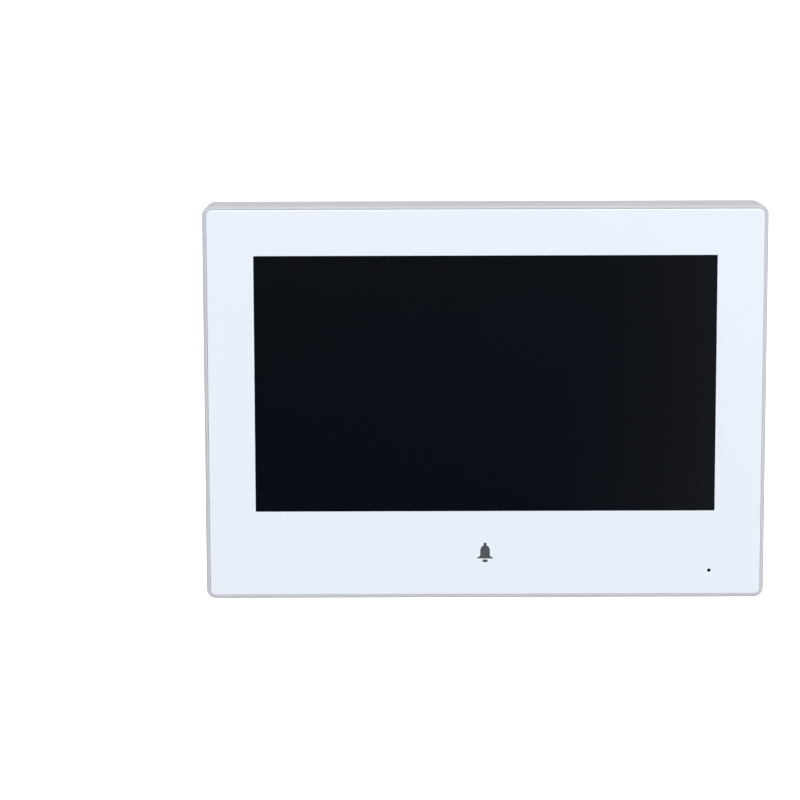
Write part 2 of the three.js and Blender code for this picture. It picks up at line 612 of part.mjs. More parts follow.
// ---- Microphone in its rubber boot, right behind the hole in the panel ----
const { radius: capsuleRadius, back: capsuleBack, front: capsuleFront } = MICROPHONE;
add("microphone", bar(MICROPHONE.x, MICROPHONE.z, capsuleRadius, capsuleBack, capsuleFront), steel);
function microphoneBoot() {
  const boot = bar(MICROPHONE.x, MICROPHONE.z, BOOT_RADIUS, capsuleBack - 0.2, WEB_BACK + CLEARANCE);
  const cupRadius = capsuleRadius + SMALL_CLEARANCE;
  const cup = bar(MICROPHONE.x, MICROPHONE.z, cupRadius, capsuleBack + 1, capsuleFront - CLEARANCE);
  const duct = bar(MICROPHONE.x, MICROPHONE.z, SOUND_DUCT_RADIUS, capsuleFront + 0.8, WEB_BACK - 1, 12);
  return cut(boot, cup, duct);
}
add("microphone_boot", microphoneBoot(), greyRubber);

// ---- Speaker: foam ring, basket with two ears, magnet and cone ----
const speakerRing = [[14.6, -5.1], [17.4, -5.1], [17.4, -4.2], [14.6, -4.2], [14.6, -5.1]];
add("speaker_seal", turned(speakerRing, SPEAKER.x, SPEAKER.z), blackFoam);

const EAR = { radius: 2.8, bridge: 3.4 };
// The basket's section runs down its cone-shaped inside and back up outside to the flange.
function speakerBasket() {
  const { back, front } = SPEAKER_FLANGE;
  const profile = [
    [15.2, back], [15.2, -6.6], [10.2, -11.4], [5.6, -11.4], [5.6, -12.2],
    [10.8, -12.2], [16.4, -7], [SPEAKER.radius, front], [SPEAKER.radius, back], [15.2, back],
  ];
  const basket = turned(profile, SPEAKER.x, SPEAKER.z);
  const ears = [-1, 1].map((side) => {
    const z = SPEAKER.z + side * SPEAKER_EAR;
    const ear = bar(SPEAKER.x, z, EAR.radius, back, front, 16);
    const bridge = blockAt(SPEAKER.x, z - side * 2.2, 2 * EAR.radius, EAR.bridge, back, front);
    return cut(join(ear, bridge), bar(SPEAKER.x, z, PILOT_HOLE, back + 1, front - 1, 12));
  });
  return join(basket, ...ears);
}
add("speaker_basket", speakerBasket(), blackPlastic);

// The magnet's ring gap lets the voice coil move in and out.
const magnetProfile = [
  [0, -15.6], [9.4, -15.6], [9.4, -12.5], [5.2, -12.5], [5.2, -14.6], [3.6, -14.6], [3.6, -11.9], [0, -11.9],
];
add("speaker_magnet", turned(magnetProfile, SPEAKER.x, SPEAKER.z), steel);

// The cone and its voice coil move together.
const coneProfile = [
  [0, -10.7], [4.1, -10.4], [4.1, -13.2], [4.6, -13.2], [4.6, -10.6], [13.4, -6.3],
  [14.4, -6.3], [14.4, -5.9], [13.2, -5.9], [4.4, -10.1], [0, -10.3],
];
add("speaker_cone", turned(coneProfile, SPEAKER.x, SPEAKER.z), paper);

const SPEAKER_SCREW = { length: 3.6, headRadius: 2.2 };
[1, -1].forEach((side, i) => {
  const z = SPEAKER.z + side * SPEAKER_EAR;
  const seat = SPEAKER_FLANGE.front - SMALL_CLEARANCE;
  const { length, headRadius } = SPEAKER_SCREW;
  addScrew("speaker_screw_" + (i + 1), SPEAKER.x, z, seat, length, false, headRadius);
});

// ---- Case screws: from the back, down the wells, into the front frame's bosses ----
const CASE_SCREW = { length: 8, headRadius: 2.5 };
CASE_SCREWS.forEach(([x, z], i) => {
  addScrew("case_screw_" + (i + 1), x, z, CASE_SCREW_SEAT, CASE_SCREW.length, true, CASE_SCREW.headRadius);
});

export default monitor;
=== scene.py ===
"""Video intercom monitor: a 7-inch indoor door-entry screen that hangs on a steel wall bracket."""

import math

import bmesh
import bpy
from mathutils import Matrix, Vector
from mathutils.geometry import tessellate_polygon


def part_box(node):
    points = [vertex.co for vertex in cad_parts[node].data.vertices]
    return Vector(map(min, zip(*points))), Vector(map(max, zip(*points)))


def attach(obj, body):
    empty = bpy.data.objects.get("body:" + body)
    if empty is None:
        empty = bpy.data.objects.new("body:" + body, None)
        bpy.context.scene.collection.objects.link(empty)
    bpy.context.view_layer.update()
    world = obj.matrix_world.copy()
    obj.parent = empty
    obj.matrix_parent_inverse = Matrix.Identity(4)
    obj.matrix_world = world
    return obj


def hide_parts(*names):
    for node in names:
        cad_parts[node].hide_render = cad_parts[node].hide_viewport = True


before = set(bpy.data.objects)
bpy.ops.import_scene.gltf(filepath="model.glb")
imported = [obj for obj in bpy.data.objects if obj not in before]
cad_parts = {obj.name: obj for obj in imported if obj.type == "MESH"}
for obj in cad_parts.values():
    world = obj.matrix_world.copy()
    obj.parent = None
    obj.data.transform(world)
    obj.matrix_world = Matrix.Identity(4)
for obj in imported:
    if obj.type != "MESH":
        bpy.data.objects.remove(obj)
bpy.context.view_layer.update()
MM = 0.001

# ---- Camera, floor and light ----
# A long lens a little above the monitor and left of it, as for a catalogue picture.
# The floor is a plain pale sheet well below, and the light comes from big soft boxes.
CAMERA_DISTANCE = 0.940
CAMERA_PITCH = math.radians(8.07)
CAMERA_ROLL = math.radians(0.17)
LEFT_OF_MIDDLE, ABOVE_MIDDLE = 0.02825, 0.0013
panel_front_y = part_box("front_panel")[0][1]
target = Vector((-LEFT_OF_MIDDLE, panel_front_y, ABOVE_MIDDLE))
lens = bpy.data.cameras.new("catalogue_lens")
lens.lens = 125.9
lens.sensor_width = 36.0
lens.clip_start = 0.01


def placed(name, data):
    """A new object in the scene."""
    item = bpy.data.objects.new(name, data)
    bpy.context.collection.objects.link(item)
    return item


camera = placed("catalogue_camera", lens)
toward_camera = Vector((0.0, -math.cos(CAMERA_PITCH), math.sin(CAMERA_PITCH)))
camera.location = target + toward_camera * CAMERA_DISTANCE
camera.rotation_euler = (math.pi / 2 - CAMERA_PITCH, CAMERA_ROLL, 0.0)
bpy.context.scene.camera = camera


def soft_box(name, place, size, watts):
    """A lit panel that looks at the monitor."""
    lamp = bpy.data.lights.new(name, "AREA")
    lamp.shape = "RECTANGLE"
    lamp.size, lamp.size_y = size
    lamp.energy = watts
    box = placed(name, lamp)
    box.location = place
    box.rotation_euler = (-Vector(place)).to_track_quat("-Z", "Y").to_euler()


soft_box("front_box", (-0.1, -1.9, 0.7), (1.4, 0.8), 18.3)
soft_box("left_box", (-1.0, -1.9, 0.35), (0.8, 1.1), 6.9)
soft_box("right_box", (1.0, -1.9, 0.35), (0.8, 1.1), 7.4)
soft_box("rear_left_box", (-1.2, 1.6, 0.8), (0.9, 1.2), 11)
soft_box("rear_right_box", (1.2, 1.6, 0.8), (0.9, 1.2), 11)

# The room is pale, but dark on the camera's side and the left, so that the glass stays dark.
world = bpy.data.worlds.new("studio")
bpy.context.scene.world = world
world.use_nodes = True
sky = world.node_tree
sky.nodes.clear()
direction = sky.nodes.new("ShaderNodeTexCoord")
backward = sky.nodes.new("ShaderNodeVectorMath")
backward.operation = "DOT_PRODUCT"
backward.inputs[1].default_value = (0.5, 1.0, 0.0)
room_ramp = sky.nodes.new("ShaderNodeValToRGB")
dark_end, pale_end = room_ramp.color_ramp.elements
dark_end.position, pale_end.position = 0.022, 0.12
dark_end.color, pale_end.color = (0.015, 0.018, 0.024, 1.0), (0.66, 0.67, 0.695, 1.0)
halved = sky.nodes.new("ShaderNodeMapRange")
halved.inputs["From Min"].default_value = -1.0
halved.inputs["From Max"].default_value = 1.0
room = sky.nodes.new("ShaderNodeBackground")
backdrop = sky.nodes.new("ShaderNodeBackground")
backdrop.inputs["Color"].default_value = (1.0, 1.0, 1.0, 1.0)
backdrop.inputs["Strength"].default_value = 1.05
path = sky.nodes.new("ShaderNodeLightPath")
choose = sky.nodes.new("ShaderNodeMixShader")
sky_out = sky.nodes.new("ShaderNodeOutputWorld")
sky.links.new(direction.outputs["Generated"], backward.inputs[0])
sky.links.new(backward.outputs["Value"], halved.inputs["Value"])
sky.links.new(halved.outputs["Result"], room_ramp.inputs["Fac"])
sky.links.new(room_ramp.outputs["Color"], room.inputs["Color"])
sky.links.new(path.outputs["Is Camera Ray"], choose.inputs[0])
sky.links.new(room.outputs[0], choose.inputs[1])
sky.links.new(backdrop.outputs[0], choose.inputs[2])
sky.links.new(choose.outputs[0], sky_out.inputs["Surface"])
bpy.context.scene.view_settings.view_transform = "Standard"

FLOOR_DROP, FLOOR_REACH = 0.30, 6.0
floor_mesh = bpy.data.meshes.new("floor")
floor_corners = [
    (x * FLOOR_REACH, y * FLOOR_REACH, -FLOOR_DROP) for x, y in ((-1, -1), (1, -1), (1, 1), (-1, 1))
]
floor_mesh.from_pydata(floor_corners, [], [(0, 1, 2, 3)])
floor = placed("floor", floor_mesh)
paper = bpy.data.materials.new("pale_paper")
paper.use_nodes = True
paper_skin = paper.node_tree.nodes["Principled BSDF"]
paper_skin.inputs["Base Color"].default_value = (0.9, 0.9, 0.9, 1.0)
paper_skin.inputs["Roughness"].default_value = 0.9
paper_skin.inputs["Emission Color"].default_value = (1.0, 1.0, 1.0, 1.0)
paper_skin.inputs["Emission Strength"].default_value = 0.9
floor_mesh.materials.append(paper)
floor.visible_glossy = False
floor.visible_diffuse = False


# ---- Wall bracket ----
# One plate of zinc-plated steel, stamped out and screwed to the wall. Its four hooks are cut out of
# the plate and bent forward and up, and each leaves a window behind it.
def rounded(width, height, radius, x=0.0, z=0.0, corner_steps=6):
    """A rectangle with round corners. The outline grows by the length it is called with."""

    def outline(grow=0.0):
        r = max(radius + grow, 0.02)
        half_w = width / 2 + grow - r
        half_h = height / 2 + grow - r
        points = []
        for quarter, (sx, sz) in enumerate(((1, 1), (-1, 1), (-1, -1), (1, -1))):
            for step in range(corner_steps + 1):
                angle = (quarter + step / corner_steps) * math.pi / 2
                px = x + sx * half_w + r * math.cos(angle)
                pz = z + sz * half_h + r * math.sin(angle)
                points.append((px, pz))
        return points

    return outline


def drawn(points):
    """Any closed outline, given anticlockwise, whose corners move out square to both their sides."""

    def outline(grow=0.0):
        moved = []
        for i, here in enumerate(points):
            before, after = Vector(points[i - 1]), Vector(points[(i + 1) % len(points)])
            here = Vector(here)
            along_in, along_out = (here - before).normalized(), (after - here).normalized()
            out_in = Vector((along_in.y, -along_in.x))
            out_out = Vector((along_out.y, -along_out.x))
            middle = (out_in + out_out).normalized()
            moved.append(tuple(here + middle * (grow / max(middle.dot(out_in), 0.4))))
        return moved

    return outline


def set_along(axis, u, v, depth):
    """u, v lie in the outline's own plane, and depth runs along the axis."""
    if axis == "Y":
        return (u, depth, v)
    if axis == "X":
        return (depth, u, v)
    return (u, v, depth)


def in_plane(axis, point):
    """A point's two coordinates in the outline's own plane."""
    x, y, z = point
    return {"Y": (x, z), "X": (y, z), "Z": (x, y)}[axis]


def quarter_turn(steps):
    """The angles of a quarter turn, both ends among them."""
    return [i / steps * math.pi / 2 for i in range(steps + 1)]


def edge_levels(low, high, edge_low, edge_high, steps):
    """Depths from a slab's low face to its high one, each with how far a rounded outline is drawn in."""
    turns = quarter_turn(steps)
    lower = [(low + edge_low * (1 - math.cos(t)), -edge_low * (1 - math.sin(t))) for t in turns]
    upper = [(high - edge_high * (1 - math.cos(t)), -edge_high * (1 - math.sin(t))) for t in turns]
    return lower + upper[::-1]


def slab(outer, holes, low, high, edge_low=0.15, edge_high=0.15, axis="Y", steps=3, square=()):
    """A flat sheet between two planes with holes through it. Its edges are rounded, apart from those of
    the outlines numbered in square, where 0 is the outer one."""
    vertices, faces = [], []
    levels = edge_levels(low, high, edge_low, edge_high, steps)
    last = len(levels) - 1
    caps = {0: [], last: []}
    for number, outline in enumerate([outer, *holes]):
        sign = 0 if number in square else (1 if number == 0 else -1)
        rows = []
        for depth, inward in levels:
            start = len(vertices)
            loop = outline(sign * inward)
            vertices.extend(set_along(axis, u, v, depth) for u, v in loop)
            rows.append(list(range(start, start + len(loop))))
        for row, next_row in zip(rows, rows[1:]):
            for i, here in enumerate(row):
                j = (i + 1) % len(row)
                faces.append((here, row[j], next_row[j], next_row[i]))
        for level in caps:
            caps[level].append(rows[level])
    for loops in caps.values():
        flat = [[Vector((*in_plane(axis, vertices[i]), 0.0)) for i in loop] for loop in loops]
        order = [i for loop in loops for i in loop]
        for corners in tessellate_polygon(flat):
            faces.append(tuple(order[c] for c in corners))
    return vertices, faces


def piece(name, parts, material, slot, *stands_for, body="monitor"):
    """Puts the parts, drawn in millimetres, together as one object, and says what it rides on."""
    shell = bmesh.new()
    for vertices, faces in parts:
        made = [shell.verts.new([c * MM for c in v]) for v in vertices]
        for face in faces:
            corners = [made[i] for i in face]
            if len(set(corners)) > 2:
                shell.faces.new(corners)
    bmesh.ops.remove_doubles(shell, verts=shell.verts, dist=1e-7)
    bmesh.ops.recalc_face_normals(shell, faces=shell.faces)
    mesh = bpy.data.meshes.new(name)
    shell.to_mesh(mesh)
    shell.free()
    mesh.shade_smooth()
    mesh.set_sharp_from_angle(angle=math.radians(38))
    whole = placed(name, mesh)
    even = whole.modifiers.new("even_shading", "WEIGHTED_NORMAL")
    even.keep_sharp = True
    mesh.materials.append(material)
    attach(whole, body)
    if stands_for:
        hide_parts(*stands_for)


def mm_box(node):
    """left, right, front, back, bottom, top of a CAD node, in millimetres."""
    low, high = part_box(node)
    return [c / MM for pair in zip(low, high) for c in pair]


def grained(
    name, colour, roughness, metallic=0.0, cloud_mm=25, cloud=0.03, grain_mm=0.5, relief_mm=0.004,
    spread=0.06, coat=0.0, coat_roughness=0.03, specular=0.5,
):
    """A surface whose colour clouds a little, and whose fine grain shows in its sheen and its relief."""
    material = bpy.data.materials.new(name)
    material.use_nodes = True
    nodes, links = material.node_tree.nodes, material.node_tree.links
    skin = nodes["Principled BSDF"]
    skin.inputs["Metallic"].default_value = metallic
    skin.inputs["Coat Weight"].default_value = coat
    skin.inputs["Coat Roughness"].default_value = coat_roughness
    skin.inputs["Specular IOR Level"].default_value = specular
    place = nodes.new("ShaderNodeTexCoord")
    clouds = nodes.new("ShaderNodeTexNoise")
    clouds.inputs["Scale"].default_value = 1000 / cloud_mm
    clouds.inputs["Detail"].default_value = 3.0
    links.new(place.outputs["Object"], clouds.inputs["Vector"])
    tint = nodes.new("ShaderNodeValToRGB")
    darker, paler = tint.color_ramp.elements
    darker.position, paler.position = 0.3, 0.7
    darker.color = [c * (1 - cloud) for c in colour] + [1.0]
    paler.color = [min(c * (1 + cloud), 1.0) for c in colour] + [1.0]
    links.new(clouds.outputs["Fac"], tint.inputs["Fac"])
    links.new(tint.outputs["Color"], skin.inputs["Base Color"])
    grain = nodes.new("ShaderNodeTexNoise")
    grain.inputs["Scale"].default_value = 1000 / grain_mm
    grain.inputs["Detail"].default_value = 4.0
    links.new(place.outputs["Object"], grain.inputs["Vector"])
    sheen = nodes.new("ShaderNodeMapRange")
    sheen.inputs["To Min"].default_value = max(roughness - spread, 0.01)
    sheen.inputs["To Max"].default_value = min(roughness + spread, 1.0)
    links.new(grain.outputs["Fac"], sheen.inputs["Value"])
    links.new(sheen.outputs["Result"], skin.inputs["Roughness"])
    relief = nodes.new("ShaderNodeBump")
    relief.inputs["Distance"].default_value = relief_mm * MM
    relief.inputs["Strength"].default_value = 1.0
    links.new(grain.outputs["Fac"], relief.inputs["Height"])
    links.new(relief.outputs["Normal"], skin.inputs["Normal"])
    return material


zinc = grained(
    "zinc_plate", (0.56, 0.575, 0.585), 0.36, 1.0, cloud_mm=7, cloud=0.1, spread=0.12, grain_mm=1.2,
)
PLATE = 1.2
BEND_INSIDE, BEND_OUTSIDE = 1.0, 2.2
HOOK_X, HOOK_WIDTH = 40.0, 9.0
HOOK_NECKS = (24.0, -34.0)
HOOK_HEIGHT = 6.2
HOOK_WINDOW_HEIGHT, HOOK_WINDOW_UP = 11.2, 4.6
WALL_BOX_SCREW_X = 30
PLUG_SCREW_X, PLUG_SCREW_ZS = 28, (37, -45)
left, right, hook_front, plate_back, low_edge, high_edge = mm_box("wall_bracket")


def screw_slot(x, z):
    return rounded(9.0, 4.6, 2.29, x, z)


def bent_strip(neck):
    """Side view of a hook: out of the plate, forward through the cover's slot, and up behind its wall."""
    root = neck - BEND_INSIDE
    tip = neck + HOOK_HEIGHT
    bend = -PLATE - BEND_INSIDE
    tongue_back = hook_front + PLATE
    tongue_outside, tongue_inside = PLATE + 0.3, 0.3
    turns = quarter_turn(6)
    points = [(-0.02, root - 0.6), (-0.02, root)]
    for t in turns:
        points.append((bend + (BEND_OUTSIDE - 0.02) * math.cos(t), root + BEND_OUTSIDE * math.sin(t)))
    for t in turns:
        back = tongue_back + tongue_inside * (1 - math.sin(t))
        points.append((back, neck + tongue_outside - tongue_inside * math.cos(t)))
    points += [(tongue_back, tip - 0.8), (tongue_back - 0.35, tip)]
    points += [(hook_front + 0.2, tip), (hook_front, tip - 0.3)]
    for t in turns:
        front = hook_front + tongue_outside * (1 - math.cos(t))
        points.append((front, neck + tongue_outside * (1 - math.sin(t))))
    for t in reversed(turns):
        points.append((bend + BEND_INSIDE * math.cos(t), root + BEND_INSIDE * math.sin(t)))
    points += [(-PLATE + 0.02, root - 0.6)]
    return points


wire_opening = rounded(56, 26, 3, 0, -21)
upper_opening = rounded(44, 22, 3, 0, 23)
bracket_holes = [wire_opening, upper_opening]
hooks = []
for side in (-1, 1):
    bracket_holes.append(screw_slot(WALL_BOX_SCREW_X * side, 0))
    bracket_holes += [screw_slot(PLUG_SCREW_X * side, z) for z in PLUG_SCREW_ZS]
    for neck in HOOK_NECKS:
        window_middle = (HOOK_X * side, neck + HOOK_WINDOW_UP)
        bracket_holes.append(rounded(HOOK_WIDTH + 1, HOOK_WINDOW_HEIGHT, 0.6, *window_middle))
        hook_left = side * HOOK_X - HOOK_WIDTH / 2
        outline = drawn(bent_strip(neck))
        hooks.append(slab(outline, [], hook_left, hook_left + HOOK_WIDTH, 0.12, 0.12, "X"))
plate_outline = rounded(right - left, high_edge - low_edge, 4, 0, (high_edge + low_edge) / 2, 10)
bracket_plate = slab(plate_outline, bracket_holes, plate_back - PLATE, plate_back, 0.14, 0.14)
piece("bracket_plate", [bracket_plate, *hooks], zinc, "zinc_plate", "wall_bracket", body="bracket")


# ---- Rear cover ----
# An injection-moulded tray of white plastic with a fine eroded texture and a round shoulder at the back.
# Its pocket lets the wires in, its slots hang on the bracket's hooks, and its wells take the case screws.
def disc(radius, x=0.0, z=0.0, sides=32):
    """A round outline, which grows as the rectangle's does."""

    def outline(grow=0.0):
        turn = 2 * math.pi / sides
        r = radius + grow
        return [(x + r * math.cos(i * turn), z + r * math.sin(i * turn)) for i in range(sides)]

    return outline


def ring(outline, profile, axis="Y"):
    """A closed section, as (outward, depth) pairs, carried once round an outline."""
    vertices, faces = [], []
    rows = []
    for outward, depth in profile:
        start = len(vertices)
        loop = outline(outward)
        vertices.extend(set_along(axis, u, v, depth) for u, v in loop)
        rows.append(list(range(start, start + len(loop))))
    for row, next_row in zip(rows, rows[1:] + rows[:1]):
        count = len(row)
        for i in range(count):
            j = (i + 1) % count
            faces.append((row[i], row[j], next_row[j], next_row[i]))
    return vertices, faces


# The real case plastic is white like the panel; this colour is painted shade, a grey darker than that white
# so the case's top, sides and back look shaded.
case_plastic_painted_shade = grained(
    "case_plastic_painted_shade", (0.565, 0.57, 0.60), 0.42, cloud_mm=60, cloud=0.012, grain_mm=0.35, relief_mm=0.006,
)
CORNER = 3.3
CASE_WALL = 2.2
COVER_SKIN = 2.0
SEAM = 0.25
SHOULDER_DEEP, SHOULDER_WIDE = 4.0, 3.0
SLOT_PITCH, SLOT_WIDTH, SLOT_END = 4.0, 1.8, 0.89
VENTS_A_ROW, VENT_X, VENT_Z, VENT_HEIGHT = 13, 52, 54, 9.0
LOWER_SLOTS, LOWER_SLOT_PITCH, LOWER_SLOT_DEPTH = 13, 5.0, -10.25
SPEAKER_X, SPEAKER_Z, SPEAKER_EAR = 66.0, -26.0, 20.5
GRILLE_ROWS, GRILLE_RADIUS = 7, 14.0
LABEL_X, LABEL_Z, LABEL_WIDTH, LABEL_HEIGHT = -70, 4, 30, 44
POCKET_WIDTH, POCKET_HEIGHT, POCKET_Z = 60.0, 34.0, -21.0
POCKET_FLOOR, POCKET_ROUND = -9.0, 0.8
WELL_RADIUS, WELL_FLOOR = 3.0, -10.0
BOARD_BACK = -12.0
LIFT = 7.0
left, right, cover_front, cover_back, low_edge, high_edge = mm_box("rear_cover")
width, height = right - left, high_edge - low_edge
cover_inside = cover_back - COVER_SKIN
case_outline = rounded(width, height, CORNER, corner_steps=10)


def shoulder(deep, wide, inset, flat_depth, steps=8):
    """A quarter of an ellipse, from a side to a flat. deep is below 0 where the flat faces the front."""
    turns = quarter_turn(steps)
    return [(-inset - wide * (1 - math.cos(t)), flat_depth - deep * (1 - math.sin(t))) for t in turns]


outer_side = [(-SEAM, cover_front), (-SEAM * 0.3, cover_front + SEAM * 0.3), (0, cover_front + SEAM)]
outer_side += shoulder(SHOULDER_DEEP, SHOULDER_WIDE, 0, cover_back)
inner_side = shoulder(3.4, 2.8, CASE_WALL, cover_inside)[::-1] + [(-CASE_WALL, cover_front)]
side_wall = ring(case_outline, outer_side + inner_side)


def cut_out(part, cutters):
    """The part with the cutters taken away, both as lists of corners and faces."""
    made = []
    for number, (vertices, faces) in enumerate([part, *cutters]):
        mesh = bpy.data.meshes.new(f"cut_{number}")
        mesh.from_pydata(vertices, [], faces)
        solid = bmesh.new()
        solid.from_mesh(mesh)
        bmesh.ops.recalc_face_normals(solid, faces=solid.faces)
        solid.to_mesh(mesh)
        solid.free()
        made.append(placed(f"cut_{number}", mesh))
    for tool in made[1:]:
        knife = made[0].modifiers.new("knife", "BOOLEAN")
        knife.operation = "DIFFERENCE"
        knife.solver = "EXACT"
        knife.object = tool
    seen = made[0].evaluated_get(bpy.context.evaluated_depsgraph_get()).to_mesh()
    result = [tuple(v.co) for v in seen.vertices], [tuple(p.vertices) for p in seen.polygons]
    for used in made:
        mesh = used.data
        bpy.data.objects.remove(used)
        bpy.data.meshes.remove(mesh)
    return result


# Slots in the lower side let cool air in.
lower_slots = []
for number in range(LOWER_SLOTS):
    slot_x = (number - LOWER_SLOTS // 2) * LOWER_SLOT_PITCH
    slot_outline = rounded(2.0, 5.5, 0.99, slot_x, LOWER_SLOT_DEPTH, 4)
    lower_slots.append(slab(slot_outline, [], low_edge - 1, low_edge + CASE_WALL + 1.2, 0.01, 0.01, "Z", 1))
side_wall = cut_out(side_wall, lower_slots)


def front_view(node):
    """width, height, middle x, middle z, front, back of a CAD node, in millimetres."""
    x0, x1, front, back, z0, z1 = mm_box(node)
    return x1 - x0, z1 - z0, (x0 + x1) / 2, (z0 + z1) / 2, front, back


CASE_SCREWS = [front_view(f"case_screw_{number}")[2:4] for number in (1, 2, 3, 4)]
BOARD_SCREWS = [front_view(f"board_screw_{number}")[2:4] for number in (1, 2, 3, 4)]
pocket_mouth = rounded(POCKET_WIDTH, POCKET_HEIGHT, 1.5, 0, POCKET_Z, 6)
back_holes = [pocket_mouth, rounded(LABEL_WIDTH, LABEL_HEIGHT, 1, LABEL_X, LABEL_Z)]
back_holes += [disc(WELL_RADIUS, x, z) for x, z in CASE_SCREWS]
for side in (-1, 1):
    for number in range(VENTS_A_ROW):
        vent_x = side * VENT_X + (number - VENTS_A_ROW // 2) * SLOT_PITCH
        back_holes.append(rounded(SLOT_WIDTH, VENT_HEIGHT, SLOT_END, vent_x, VENT_Z, 4))
    for neck in HOOK_NECKS:
        slot_top, slot_bottom = neck + PLATE + 0.3, neck - LIFT - 0.5
        slot_place = (side * HOOK_X, (slot_top + slot_bottom) / 2)
        back_holes.append(rounded(HOOK_WIDTH + 2, slot_top - slot_bottom, 0.4, *slot_place))
for row in range(GRILLE_ROWS):
    up = (row - GRILLE_ROWS // 2) * SLOT_PITCH
    slot_length = 2 * math.sqrt(GRILLE_RADIUS**2 - up**2)
    back_holes.append(rounded(slot_length, SLOT_WIDTH, SLOT_END, SPEAKER_X, SPEAKER_Z + up, 4))
back_outline = rounded(width - 2 * SHOULDER_WIDE, height - 2 * SHOULDER_WIDE, 0.3, corner_steps=10)
back_wall = slab(back_outline, back_holes, cover_inside, cover_back, 0.2, 0.3, square=(0,), steps=4)
label_outline = rounded(LABEL_WIDTH + 0.4, LABEL_HEIGHT + 0.4, 1.2, LABEL_X, LABEL_Z)
label_recess = slab(label_outline, [], cover_inside, cover_back - 0.4, 0.05, 0.05)

# The pocket's floor has a window for the wire sockets, one for the selector and a hole for the reset key.
pocket_under = POCKET_FLOOR - COVER_SKIN
pocket_section = [(0, cover_inside + 0.2), *shoulder(-POCKET_ROUND, POCKET_ROUND, 0, POCKET_FLOOR, 5)]
pocket_section += [(-POCKET_ROUND, pocket_under), (2, pocket_under), (2, cover_inside + 0.2)]
pocket_sides = ring(pocket_mouth, pocket_section)
floor_outline = rounded(POCKET_WIDTH - 2 * POCKET_ROUND, POCKET_HEIGHT - 2 * POCKET_ROUND, 0.7, 0, POCKET_Z)
socket_window, selector_window = rounded(55, 7.2, 0.6, 0, -12), rounded(7.2, 9.6, 0.4, -23, -29)
floor_holes = [socket_window, selector_window, disc(2.1, 23, -29)]
pocket_floor = slab(floor_outline, floor_holes, pocket_under, POCKET_FLOOR, 0.2, 0.2, square=(0,))


def hollow_post(x, z, outer, profile):
    """A moulded post or well: its bore runs down profile, and its outside comes back up."""
    end = profile[-1][1]
    return ring(disc(0.0, x, z), [*profile, (outer, end), (outer, cover_inside + 0.2)])


well_bore = [(WELL_RADIUS, cover_inside + 0.2), (WELL_RADIUS, WELL_FLOOR + 0.3)]
well_bore += [(WELL_RADIUS - 0.3, WELL_FLOOR), (1.5, WELL_FLOOR), (1.5, BOARD_BACK)]
wells = [hollow_post(x, z, 4.6, well_bore) for x, z in CASE_SCREWS]
post_bore = [(1.3, cover_inside + 0.3), (1.3, BOARD_BACK + 0.3)]
posts = [hollow_post(x, z, 2.8, post_bore) for x, z in BOARD_SCREWS]
speaker_bore = [(1.3, cover_inside + 0.3), (1.3, -4.9)]
posts += [hollow_post(SPEAKER_X, SPEAKER_Z + end * SPEAKER_EAR, 2.6, speaker_bore) for end in (-1, 1)]
cover_parts = [side_wall, back_wall, label_recess, pocket_sides, pocket_floor, *wells, *posts]
piece("rear_shell", cover_parts, case_plastic_painted_shade, "case_white", "rear_cover")


# ---- Speaker ----
# A 36 mm loudspeaker behind the slots at the lower right: foam ring, moulded basket with two ears,
# ring magnet in a steel pot, and a pressed paper cone whose voice coil runs in the magnet's gap.
foam = grained("cell_foam", (0.022, 0.022, 0.024), 0.92, grain_mm=0.35, relief_mm=0.06, specular=0.2)
black_plastic = grained("black_plastic", (0.025, 0.026, 0.028), 0.48, grain_mm=0.4, relief_mm=0.008)
steel = grained(
    "bright_steel", (0.62, 0.62, 0.63), 0.28, 1.0, cloud_mm=5, cloud=0.06, spread=0.08, relief_mm=0.002,
)
cone_paper = grained(
    "cone_paper", (0.05, 0.05, 0.052), 0.85, grain_mm=0.3, relief_mm=0.03, cloud=0.15, cloud_mm=4,
)
EAR_RADIUS, EAR_HOLE, EAR_ROOT = 2.8, 1.3, 16.8
BASKET_WINDOW, WINDOW_CIRCLE = 2.2, 12.9
on_speaker = (SPEAKER_X, SPEAKER_Z)


def arc_points(u, v, radius, start, end, steps=6):
    """Points on an arc about u, v, from one angle to another in degrees."""
    angles = [math.radians(start + (end - start) * i / steps) for i in range(steps + 1)]
    return [(u + radius * math.cos(a), v + radius * math.sin(a)) for a in angles]


def turned(profile, x, z, sides=40):
    """A piece turned about the line of depth, from (radius, depth) pairs that start and end on it."""
    vertices, faces, rows = [], [], []
    for radius, depth in profile:
        start = len(vertices)
        if radius < 1e-6:
            vertices.append((x, depth, z))
            rows.append([start])
            continue
        vertices.extend((u, depth, v) for u, v in disc(radius, x, z, sides)())
        rows.append(list(range(start, start + sides)))
    for row, next_row in zip(rows, rows[1:]):
        for i in range(sides):
            j = (i + 1) % sides
            if len(row) == 1:
                faces.append((row[0], next_row[j], next_row[i]))
            elif len(next_row) == 1:
                faces.append((row[i], row[j], next_row[0]))
            else:
                faces.append((row[i], row[j], next_row[j], next_row[i]))
    return vertices, faces


seal_section = arc_points(14.9, -4.5, 0.3, 180, 90, 3) + arc_points(17.1, -4.5, 0.3, 90, 0, 3)
seal_section += arc_points(17.1, -4.8, 0.3, 0, -90, 3) + arc_points(14.9, -4.8, 0.3, -90, -180, 3)
seal_ring = ring(disc(0.0, *on_speaker, 64), seal_section)
piece("speaker_ring", [seal_ring], foam, "foam_black", "speaker_seal")

